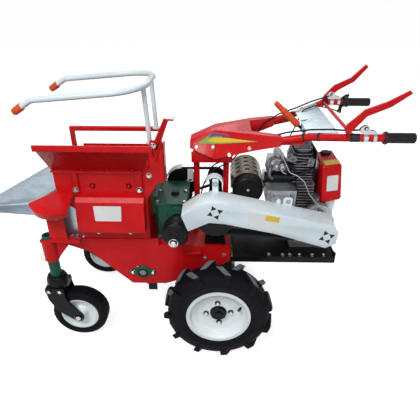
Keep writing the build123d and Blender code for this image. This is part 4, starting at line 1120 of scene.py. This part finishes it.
class HARVESTER_OT_guard(bpy.types.Operator):
    """Add the belt guard's ears, bolts, black faces painted as the shade in its vents and blank signs, the
    stand's arch painted as a pulley rim highlight and the side tab
    """

    bl_idname = "harvester.guard"
    bl_label = "Belt guard fittings"

    face = -303.1
    ears = [
        # front, rear, low and high edge
        (536, 570, 650, 712), (508, 522, 664, 706),
    ]
    bolts = [
        # X, Y, Z and the head's radius, height and width of its washer
        (556, -203.2, 694, 0.0065, 0.005, 1.5), (262, -206.5, 772, 0.007, 0.006, 1.6),
        (219, -200, 411, 0.008, 0.008, 1.5), (302, -200, 428, 0.008, 0.008, 1.5),
    ]
    arch = [
        # radius and Y of the corners of the arch's section
        (30, -202), (36, -202), (36, -168), (30, -168),
    ]
    arch_middle = (258, 766)
    # Outlines of X and Z
    tab = [(132, 450), (206, 450), (206, 462), (180, 472), (150, 472), (132, 464)]
    sign = [(392, 702), (512, 680), (506, 612), (388, 632)]
    band = [(457, 688), (511, 678), (509, 654), (455, 664)]
    finger_slot = [(136, 654), (150, 654), (150, 662), (136, 662)]
    vents = [(262, 695), (702, 590)]
    vent_ring = 20
    vent_reach = 13

    def execute(self, context):
        self.fittings()
        self.brackets()
        self.faces()
        return {"FINISHED"}

    def fittings(self):
        """The guard's ears and the bolts that hold it."""
        ears = Mould()
        for front, rear, low, high in self.ears:
            edge = [
                (front, low), (rear, low), (rear + 4, high - 8), (rear - 4, high), (front + 6, high),
                (front, high - 10),
            ]
            ears.sheet(edge, -203, -200)
        ears.piece("guard_ears", "white_paint", "frame", round_edges=0.0008)
        bolts = Mould()
        for x, y, z, head, tall, washer in self.bolts:
            bolts.bolt(at(x, y, z), LEFT, head, tall, washer)
        bolts.piece("guard_bolts", "zinc", "frame")

    def brackets(self):
        """The white arch over the jackshaft's stand, painted as the highlight on the far pulley's rim, and the
        tab on the chassis plate.
        """
        # Painted highlight: the white arch stands for the light on the rim of the black pulley behind the
        # guard.
        arch = Mould()
        x, z = self.arch_middle
        turns = [pi * step / 18 for step in range(19)]
        arch.stack([[at(x + r * cos(turn), y, z + r * sin(turn)) for r, y in self.arch] for turn in turns])
        arch.piece("pulley_rim_highlight", "white_paint", "frame", round_edges=0.0006)
        tab = Mould()
        tab.sheet(self.tab, -200.2, -207.2)
        shelf = [at(140, -200.2, 450), at(200, -200.2, 450), at(200, -226, 444), at(140, -226, 444)]
        tab.plate(shelf, at(0, 0, 7))
        tab.piece("side_tab", "red_paint", "frame", round_edges=0.0015)

    def faces(self):
        """The black faces painted as the shade inside the vents and the finger's slot, and the blank signs."""
        # Painted shade: black sheets over the vents and the finger's slot stand for the shade and the dark
        # pulleys seen through them.
        vents = Mould()
        for x, z in self.vents:
            for turn in around(4, radians(20)):
                middle_x, middle_z = x + self.vent_ring * cos(turn), z + self.vent_ring * sin(turn)
                tips = around(3, turn)
                reach = self.vent_reach
                edge = [(middle_x + reach * cos(tip), middle_z + reach * sin(tip)) for tip in tips]
                vents.sheet(edge, self.face, self.face - 0.4)
        vents.sheet(self.finger_slot, 71.8, 71.3, 0.002)
        vents.piece("vent_shade_faces", "black_plastic", "frame", round_edges=0.0001)
        sign = Mould()
        sign.sheet(self.sign, self.face, self.face - 0.5, 0.005)
        sign.piece("blank_guard_sign", "blank_white", "frame", round_edges=0.0002)
        band = Mould()
        band.sheet(self.band, self.face - 0.6, self.face - 0.9, 0.003)
        band.piece("blank_guard_band", "blank_yellow", "frame", round_edges=0.0001)


class HARVESTER_OT_engine(bpy.types.Operator):
    """Build the engine's fins and tank, and add its bolts, carburettor, links, lines and starter grille"""

    bl_idname = "harvester.engine"
    bl_label = "Engine fittings"

    bolts = [
        # X, Y, Z, the way the head points and its size
        (500, -128, 684, LEFT, 6), (584, -128, 684, LEFT, 6), (500, -128, 644, LEFT, 6),
        (584, -128, 644, LEFT, 6), (742, -150, 590, LEFT, 6), (702, -150, 630, LEFT, 6),
        (662, -150, 590, LEFT, 6), (702, -150, 550, LEFT, 6),
        (500, -182, 416, UP, 7), (560, -182, 416, UP, 7), (592, -182, 416, UP, 7), (634, -182, 416, UP, 7),
        (690, -182, 416, UP, 7), (740, -182, 416, UP, 7), (620, 170, 416, UP, 7), (740, 170, 416, UP, 7),
        (401, -90, 690, LEFT, 7),
    ]
    # Profiles of length and radius, in metres
    barrel = [(0, 0), (0, 0.021), (0.006, 0.023), (0.03, 0.023), (0.034, 0.019), (0.034, 0)]
    bowl = [(0, 0), (0, 0.016), (0.004, 0.018), (0.024, 0.018), (0.028, 0.012), (0.028, 0)]
    dome = [(0, 0), (0.004, 0.014), (0.03, 0.016), (0.034, 0.013), (0.034, 0)]
    barrel_ring = [(0, 0.0245), (0.0016, 0.0245), (0.0016, 0.0228)]
    spark_cap = [(0, 0), (0, 0.010), (0.02, 0.010), (0.026, 0.006), (0.026, 0)]
    oil_neck = [(0, 0.016), (0.012, 0.016), (0.014, 0.013), (0.014, 0)]
    head_nut = [(0, 0.008), (0.01, 0.0075), (0.011, 0.005), (0.011, 0)]
    tank_cap = [(-0.006, 0.0215), (0.004, 0.0215), (0.007, 0.019), (0.0075, 0.010), (0.006, 0.008), (0.006, 0)]
    throttle = [
        # X, Y, Z along the bare line from the carburettor to the governor
        (533, -92, 846), (552, -104, 812), (566, -112, 782), (602, -118, 768), (630, -122, 744),
        (655, -128, 690), (700, -150, 640), (742, -158, 600),
    ]
    spark_lead = [(566, -40, 800), (584, -96, 806), (596, -106, 770), (600, -100, 736)]
    fuel_hose = [(726, -70, 640), (716, -96, 612), (690, -126, 640), (640, -126, 660)]
    fin_count = 11
    fin_pitch = 12
    straight_fins = 7
    # Outlines of X and Z
    front_link = [(552, 826), (590, 818), (596, 832), (574, 856), (556, 850)]
    rear_link = [(640, 804), (664, 800), (670, 830), (652, 842), (642, 826)]
    tank_edge = [(718, 631), (801, 652), (780, 816), (700, 804)]
    tank_plate = [(733, 690), (779, 697), (773, 768), (727, 761)]
    strap = [(704, 806), (708, 770), (721, 640), (724, 630), (794, 648)]
    tank_rings = [
        # Y and how far the outline is drawn in there
        (-100, 6), (-95, 0), (60, 0), (65, 6),
    ]
    tank_top = (700, 804.2, 0.15)

    def execute(self, context):
        bolts = Mould()
        for x, y, z, way, head in self.bolts:
            bolts.bolt(at(x, y, z), way, head / 1000, head / 1000, 1.5)
        bolts.piece("engine_bolts", "zinc", "frame")
        self.carburettor()
        self.lines()
        self.fins()
        self.links()
        self.tank()
        self.tank_fittings()
        self.starter()
        return {"FINISHED"}

    def carburettor(self):
        """The carburettor with its bowl and pipes, and its rings, levers and screws."""
        body = Mould()
        body.lathe(self.barrel, at(506, -84, 806), RIGHT, 32)
        body.lathe(self.bowl, at(540, -66, 792), LEFT, 28)
        body.lathe(self.dome, at(520, -62, 842), -UP, 28)
        pipe = [(500, -74, 800), (488, -92, 786), (484, -98, 762), (500, -90, 744)]
        body.hose(pipe, [0.012, 0.014], 0.008, 14)
        body.hose([(548, -60, 812), (566, -72, 822), (584, -70, 812)], [0.014], 0.009, 14)
        body.piece("carburettor", "dark_steel", "frame")
        trim = Mould()
        for step in range(5):
            trim.lathe(self.barrel_ring, at(506, -80 + 6 * step, 806), RIGHT, 32)
        trim.rod([(494, -88, 822), (512, -92, 830), (532, -86, 824)], 0.0028, 10)
        trim.rod([(532, -94, 792), (540, -97, 776), (556, -96, 768)], 0.0026, 10)
        for x, y, z in ((498, -84.5, 814), (516, -84.5, 798), (538, -94.5, 800)):
            trim.bolt(at(x, y, z), LEFT, 0.0045, 0.004, 1.3)
        trim.piece("carburettor_trim", "zinc", "frame")

    def lines(self):
        """The throttle line, the spark lead, the fuel hose and the oil filler."""
        line = Mould()
        line.hose(self.throttle, [0.02] * 6, 0.0024, 10, 5)
        line.piece("throttle_line", "zinc", "frame")
        leads = Mould()
        leads.hose(self.spark_lead, [0.02, 0.02], 0.0036, 12)
        leads.hose(self.fuel_hose, [0.02, 0.02], 0.0034, 12)
        leads.lathe(self.spark_cap, at(566, -34, 800), LEFT, 20)
        leads.piece("engine_leads", "belt_rubber", "frame")
        filler = Mould()
        filler.lathe(self.oil_neck, at(622, -120, 470), LEFT, 24)
        filler.block((619, -140, 458), (625, -134, 482))
        filler.piece("oil_filler", "blank_yellow", "frame", round_edges=0.0008)

    def fins(self):
        """The open fins with the rocker cover on top, and the black core between them, painted as the shade
        between the fins, with the black pipes.
        """
        fins = Mould()
        for step in range(self.fin_count):
            inset = 3 * max(0, step - self.straight_fins)
            low = 724 + self.fin_pitch * step
            fins.slab((578 + inset, 676 - inset), (-84 + inset, 72 - inset), (low, low + 4.5), 14)
        fins.slab((598, 660), (-58, 48), (846, 861), 16)
        fins.slab((592, 666), (-64, 54), (860, 866), 16)
        for x in (604, 654):
            for y in (-50, 40):
                fins.lathe(self.head_nut, at(x, y, 865), UP, 16)
        fins.piece("finned_head", "dark_steel", "frame", round_edges=0.0008, replaces=("engine_shroud",))
        core = Mould()
        # Painted shade: the core slab and the plate behind the fins are black for the shade between the fins;
        # the pipes are black parts.
        core.slab((590, 664), (-70, 60), (716, 850), 20)
        core.block((672, -86, 744), (676, 70, 866))
        core.rod([(470, -58, 735), (520, -62, 738), (600, -62, 738)], 0.024, 28)
        pipe = [(560, -88, 800), (576, -96, 770), (610, -96, 764), (668, -92, 790)]
        core.hose(pipe, [0.02, 0.03], 0.007, 14)
        core.piece("fin_shade_core_and_pipes", "black_metal", "frame", round_edges=0.001)

    def links(self):
        """The governor's spring, link plates, rod and screws."""
        links = Mould()
        coil = []
        for step in range(97):
            turn = tau * step / 12
            coil.append((596 + step * 0.5, -94 + 6 * cos(turn), 806 + step * 0.2 + 6 * sin(turn)))
        links.rod(coil, 0.0012, 6)
        links.sheet(self.front_link, -90, -87)
        links.sheet(self.rear_link, -92, -89)
        links.rod([(560, -94, 850), (600, -98, 842), (656, -96, 836)], 0.0024, 10)
        for x, z in ((566, 838), (582, 826), (654, 812), (658, 830)):
            links.bolt(at(x, -92.5, z), LEFT, 0.0052, 0.005, 1.4)
        links.piece("governor_links", "dark_steel", "frame")

    def tank(self):
        """The fuel tank with round edges, and the ribbed cap on it."""
        shell = Mould()
        outline = round_outline([at(x, 0, z) for x, z in self.tank_edge], 0.012)
        middle = sum(outline, Vector()) / len(outline)
        rings = []
        for y, inset in self.tank_rings:
            drawn_in = [point + (middle - point).normalized() * inset / 1000 for point in outline]
            rings.append([point + at(0, y, 0) for point in drawn_in])
        shell.stack(rings)
        shell.piece("tank_shell", "red_paint", "frame", replaces=("fuel_tank",))
        cap = Mould()
        cap.lathe(self.tank_cap, at(742, 30, 814), UP, 48)
        for turn in around(24):
            x, y = 742 + 21.5 * cos(turn), 30 + 21.5 * sin(turn)
            cap.rod([(x, y, 808), (x, y, 818)], 0.0013, 6)
        cap.piece("tank_cap", "black_plastic", "frame")

    def tank_fittings(self):
        """The blank plates on the tank's side and top, and its straps."""
        plate = Mould()
        plate.sheet(self.tank_plate, -100.1, -100.6, 0.004)
        plate.piece("blank_tank_plate", "blank_white", "frame", round_edges=0.0002)
        sign = Mould()
        front, low, slope = self.tank_top
        spots = ((714, -92), (776, -92), (776, -44), (714, -44))
        corners = [at(x, y, low + slope * (x - front)) for x, y in spots]
        sign.plate(round_outline(corners, 0.004), at(-0.07, 0, 0.5))
        sign.piece("blank_tank_sign", "blank_yellow", "frame", round_edges=0.0002)
        straps = Mould()
        edge = [(x - 2.4, z - 1.4) for x, z in self.strap]
        edge += [(x - 0.4, z + 0.2) for x, z in reversed(self.strap)]
        for y in (-72, -2):
            straps.sheet(edge, y, y + 14)
        straps.piece("tank_straps", "red_paint", "frame")

    def starter(self):
        """The rings and spokes of the starter's grille, and the pull's handle."""
        grille = Mould()
        middle = at(682, 160, 590)
        for inner in (0.028, 0.042, 0.056, 0.066):
            outer = inner + 0.005
            grille.lathe([(0, inner), (0.003, inner), (0.003, outer), (0, outer)], middle, RIGHT, 48)
        for turn in around(8):
            out = Vector((cos(turn), 0, sin(turn)))
            grille.tube([middle + out * 0.02, middle + out * 0.07], 0.003, 8)
        grille.rod([(620, 146, 690), (612, 166, 706), (596, 166, 712)], 0.007, 12)
        grille.piece("starter_grille", "black_plastic", "frame")


class HARVESTER_OT_handle(bpy.types.Operator):
    """Build the grips and lever blades, and add the brackets, cables, clips and stripes of the handle"""

    bl_idname = "harvester.handle"
    bl_label = "Handle fittings"

    stages = [
        # X, half width and Z of the fairing's low edge, half width and Z of its high edge
        (154, 64, 866, 34, 892), (256, 95, 830, 43, 937), (415, 122, 878, 113, 944), (516, 146, 906, 147, 944),
    ]
    bar_route = [(440, 110, 907), (604, 152, 947), (764, 250, 980), (966, 250, 980)]
    grip_middle = (970, 250, 980)
    grip_ribs = 15
    grip_end = [
        # along the grip and radius, in metres, from the last rib to the flange
        (0.099, 0.0188), (0.1, 0.0225), (0.1025, 0.0235), (0.105, 0.0235), (0.1098, 0.0215), (0.11, 0.0142),
    ]
    # Outlines of X and Z
    left_blade = [
        (716, 1006), (716, 1031), (735, 1049), (771, 1085), (843, 1113), (908, 1150), (920, 1140), (858, 1094),
        (783, 1061), (741, 1008),
    ]
    right_blade = [
        (751, 991), (763, 1012), (799, 1053), (872, 1088), (928, 1146), (941, 1134), (889, 1070), (821, 1031),
        (778, 990),
    ]
    ear = [(768, 1004), (784, 996), (830, 995), (830, 1005), (808, 1010), (796, 1026), (784, 1026), (772, 1016)]
    throttle_ring = [(0, 0.0205), (0.003, 0.022), (0.015, 0.022), (0.018, 0.0205), (0.018, 0.0145)]
    # X, distance from the middle and Z along the cables
    bar_cable = [
        (786, 246, 1010), (740, 232, 1000), (690, 200, 994), (620, 156, 978), (540, 128, 958), (470, 88, 925),
        (430, 60, 880),
    ]
    post_cable = [(430, 60, 880), (360, 40, 840), (332, 20, 796)]
    throttle_cable = [
        (832, 236, 940), (780, 200, 962), (700, 150, 990), (640, 120, 975), (600, 60, 915), (560, 0, 868),
    ]
    stripe_shapes = [
        # name of the stripe and its finish, how proud it stands, then X and share up the side round it
        ("stripe_green", 0.5, [
            (187, 0.55), (246, 0.92), (256, 0.917), (302, 0.885), (415, 0.58), (427, 0.55), (415, 0.55),
            (288, 0.53), (256, 0.535),
        ]),
        ("stripe_yellow", 0.9, [
            (226, 0.66), (256, 0.74), (302, 0.75), (412, 0.58), (302, 0.58), (256, 0.58),
        ]),
        ("stripe_violet", 1.3, [
            (228, 0.80), (246, 0.915), (256, 0.912), (302, 0.88), (326, 0.81), (256, 0.785),
        ]),
    ]
    stripe_thick = 0.3
    screws = [
        # X and share up the fairing's side
        (252, 0.42), (398, 0.20), (184, 0.30), (318, 0.06),
    ]

    def execute(self, context):
        self.grips()
        self.levers()
        self.brackets()
        self.throttle()
        self.cables()
        self.stripes()
        return {"FINISHED"}

    def bar(self, side):
        """The middle of a handlebar tube as a path of points."""
        return rounded([on_side(place, side) for place in self.bar_route], [0.12, 0.09], 10)

    def grips(self):
        """The ribbed grips with a flange at their inner ends."""
        profile = [(0, 0), (0, 0.0165), (0.0025, 0.0188)]
        for step in range(self.grip_ribs):
            start = 0.006 + 0.006 * step
            profile += [(start, 0.0188), (start + 0.0012, 0.0176)]
            profile += [(start + 0.0026, 0.0176), (start + 0.0038, 0.0188)]
        mould = Mould()
        for side in SIDES.values():
            mould.lathe(profile + self.grip_end, on_side(self.grip_middle, side), -REAR, 40)
        mould.piece("ribbed_grips", "black_plastic", "frame", replaces=("grips",))

    def levers(self):
        """The bent lever blades on their pivots, each with a foot on its bar."""
        mould = Mould()
        for side, outline in ((-1, self.left_blade), (1, self.right_blade)):
            mould.sheet(outline, side * 262 - 5, side * 262 + 5)
            x, z = outline[0]
            y = side * 256
            mould.rod([(x + 10, y - 13, z + 1), (x + 10, y + 13, z + 1)], 0.0085, 20)
            seat = min(self.bar(side), key=lambda point: abs(point.x - (x + 14) / 1000))
            mould.tube([at(x + 10, side * 260, z + 2), seat], 0.0085, 20)
        mould.piece("lever_blades", "red_paint", "frame", round_edges=0.0035, replaces=("clutch_levers",))

    def brackets(self):
        """The tape on the bars and the clamps that hold the levers."""
        bands = Mould()
        metal = Mould()
        for side in SIDES.values():
            bands.tube([point for point in self.bar(side) if 0.742 < point.x < 0.776], 0.0153, 24)
            y = side * 250
            for start, end in ((786, 802), (820, 832)):
                metal.rod([(start, y, 980), (end, y, 980)], 0.0165, 28)
            for near in (y - 8, y + 5):
                metal.sheet(self.ear, near, near + 3)
            metal.block((784, y - 8, 994.5), (836, y + 8, 996.5))
            for out in (LEFT, RIGHT):
                metal.bolt(at(790, y + 8 * out.y, 1016), out, 0.005, 0.005, 1.4)
        bands.piece("tape_bands", "black_plastic", "frame")
        metal.piece("lever_brackets", "zinc", "frame", round_edges=0.0006)

    def throttle(self):
        """The throttle's ring, thumb lever and cable end on the right bar."""
        mould = Mould()
        mould.lathe(self.throttle_ring, at(838, 250, 980), REAR, 32)
        mould.rod([(846, 250, 1000), (852, 236, 1012), (862, 226, 1016)], [0.006, 0.005, 0.007], 12)
        mould.rod([(842, 250, 962), (836, 240, 950), (832, 232, 938)], [0.009, 0.008, 0.011], 14)
        mould.piece("throttle_lever", "black_plastic", "frame")

    def cables(self):
        """The cables along the bars and down the posts, and the clips that hold them."""
        mould = Mould()
        clips = Mould()
        for side in SIDES.values():
            upper = [(x, side * y, z) for x, y, z in self.bar_cable]
            mould.hose(upper, [0.05] * 5, 0.0032, 10)
            lower = [(x, side * y, z) for x, y, z in self.post_cable]
            lower += [(250, 30 * side - 20, 760), (210, -60, 700), (190, -130, 640)]
            mould.hose(lower, [0.02] * 4, 0.0032, 10)
            for x, y, z in ((650, 178, 957), (600, 150, 946)):
                clips.rod([(x - 4, side * (y - 2), z - 1), (x + 4, side * (y + 2), z + 1)], 0.0162, 20)
        mould.hose(self.throttle_cable, [0.04] * 4, 0.0026, 10)
        mould.piece("control_cables", "belt_rubber", "frame")
        clips.piece("cable_clips", "black_plastic", "frame")

    def fairing(self, x, share, side, proud):
        """A point over the fairing's side, a share of the way from its low to its high edge."""
        for low, high in zip(self.stages, self.stages[1:]):
            if x <= high[0]:
                part = (x - low[0]) / (high[0] - low[0])
                low_y, low_z, high_y, high_z = [a + (b - a) * part for a, b in zip(low[1:], high[1:])]
                break
        y = low_y + (high_y - low_y) * share
        z = low_z + (high_z - low_z) * share
        rise = Vector((0, high_y - low_y, high_z - low_z)).normalized()
        return at(x, side * (y + rise.z * proud), z - rise.y * proud)

    def stripes(self):
        """The thin stripes and the screws on both sides of the fairing."""
        for name, proud, outline in self.stripe_shapes:
            mould = Mould()
            for side in SIDES.values():
                faces = (proud - self.stripe_thick, proud)
                mould.stack([[self.fairing(x, share, side, face) for x, share in outline] for face in faces])
            mould.piece(name, name, "frame")
        screws = Mould()
        for side in SIDES.values():
            for x, share in self.screws:
                spot = self.fairing(x, share, side, 0)
                out = self.fairing(x, share, side, 10) - spot
                screws.bolt(spot, out, 0.0055, 0.005, 1.6)
        screws.piece("fairing_screws", "zinc", "frame")


class HARVESTER_OT_stage(bpy.types.Operator):
    """Set up the floor, the soft lights and the camera"""

    bl_idname = "harvester.stage"
    bl_label = "Stage"

    floor_bounce = (0.10, 0.10, 0.10, 1)
    floor_glow = 0.66
    lamps = [
        # name, place, aims at, width, power
        ("key", (-0.9, -2.4, 3.6), (0.0, 0.0, 0.6), 1.4, 92),
        ("fill", (0.9, -3.3, 1.9), (0.1, 0.0, 0.45), 1.8, 36),
        ("back", (0.4, 2.8, 3.4), (0.0, 0.0, 0.7), 2.4, 42),
    ]
    eye_place = (0.27193, -1.62844, 1.45734)
    eye_down = 29.47
    eye_turn = 1.25
    eye_lens = 36.0 * 400.0 / 420.0

    def execute(self, context):
        scene = context.scene
        scene.view_settings.view_transform = "Standard"
        self.floor(scene)
        self.lights(scene)
        self.camera(scene)
        return {"FINISHED"}

    def floor(self, scene):
        """A floor that looks white, keeps the shadow and throws little light back."""
        flat = bmesh.new()
        reach = sizes().floor_reach
        corners = ((-1, -1), (1, -1), (1, 1), (-1, 1))
        flat.faces.new([flat.verts.new((x * reach, y * reach, -0.0005)) for x, y in corners])
        mesh = bpy.data.meshes.new("floor")
        flat.to_mesh(mesh)
        flat.free()
        floor = bpy.data.objects.new("floor", mesh)
        scene.collection.objects.link(floor)
        paint = Paint("floor", Roughness=0.9, Specular_IOR_Level=0.0)
        paint.colour(paint.mix(paint.seen(), self.floor_bounce, (*colours().floor, 1)))
        strength = paint.seen() * self.floor_glow
        glow = paint.node("ShaderNodeEmission", None, {"Color": (1, 1, 1, 1), "Strength": strength})
        both = paint.node("ShaderNodeAddShader", None, {0: Value(paint, paint.shader.outputs[0]), 1: glow})
        paint.feed(paint.tree.nodes["Material Output"].inputs["Surface"], both)
        mesh.materials.append(paint.material)

    def lights(self, scene):
        """Three soft lamps and the white studio."""
        for name, place, target, width, power in self.lamps:
            lamp = bpy.data.lights.new(name, "AREA")
            lamp.shape = "SQUARE"
            lamp.size = width
            lamp.energy = power
            made = bpy.data.objects.new(name, lamp)
            made.location = place
            made.rotation_euler = (Vector(target) - Vector(place)).to_track_quat("-Z", "Y").to_euler()
            scene.collection.objects.link(made)
        world = bpy.data.worlds.new("studio")
        world.use_nodes = True
        Sky(world).light(sizes().sky, 1.0, 0.6)
        scene.world = world

    def camera(self, scene):
        """The photograph's camera."""
        eye = bpy.data.cameras.new("camera")
        eye.sensor_width = 36.0
        eye.lens = self.eye_lens
        made = bpy.data.objects.new("camera", eye)
        made.location = self.eye_place
        made.rotation_euler = (radians(90 - self.eye_down), 0, radians(self.eye_turn))
        scene.collection.objects.link(made)
        scene.camera = made


class HARVESTER_PT_panel(bpy.types.Panel):
    """Lists the harvester's pieces and settings"""

    bl_idname = "HARVESTER_PT_panel"
    bl_label = "Corn Harvester"
    bl_space_type = "VIEW_3D"
    bl_region_type = "UI"
    bl_category = "Harvester"

    def draw(self, context):
        for operator in OPERATORS:
            self.layout.operator(operator.bl_idname)
        for group in (colours(), sizes()):
            for key in group.__annotations__:
                self.layout.prop(group, key)


OPERATORS = (
    HARVESTER_OT_finishes,
    HARVESTER_OT_panels,
    HARVESTER_OT_drive_wheels,
    HARVESTER_OT_casters,
    HARVESTER_OT_shell,
    HARVESTER_OT_guide,
    HARVESTER_OT_forks,
    HARVESTER_OT_header,
    HARVESTER_OT_gearbox,
    HARVESTER_OT_guard,
    HARVESTER_OT_engine,
    HARVESTER_OT_handle,
    HARVESTER_OT_stage,
)
CLASSES = (HarvesterColours, HarvesterSizes, HarvesterSettings, *OPERATORS, HARVESTER_PT_panel)


def register():
    for each in CLASSES:
        bpy.utils.register_class(each)
    bpy.types.Scene.harvester = PointerProperty(type=HarvesterSettings)


def unregister():
    del bpy.types.Scene.harvester
    for each in reversed(CLASSES):
        bpy.utils.unregister_class(each)


def main():
    register()
    for operator in OPERATORS:
        group, name = operator.bl_idname.split(".")
        getattr(getattr(bpy.ops, group), name)()


if __name__ == "__main__":
    main()
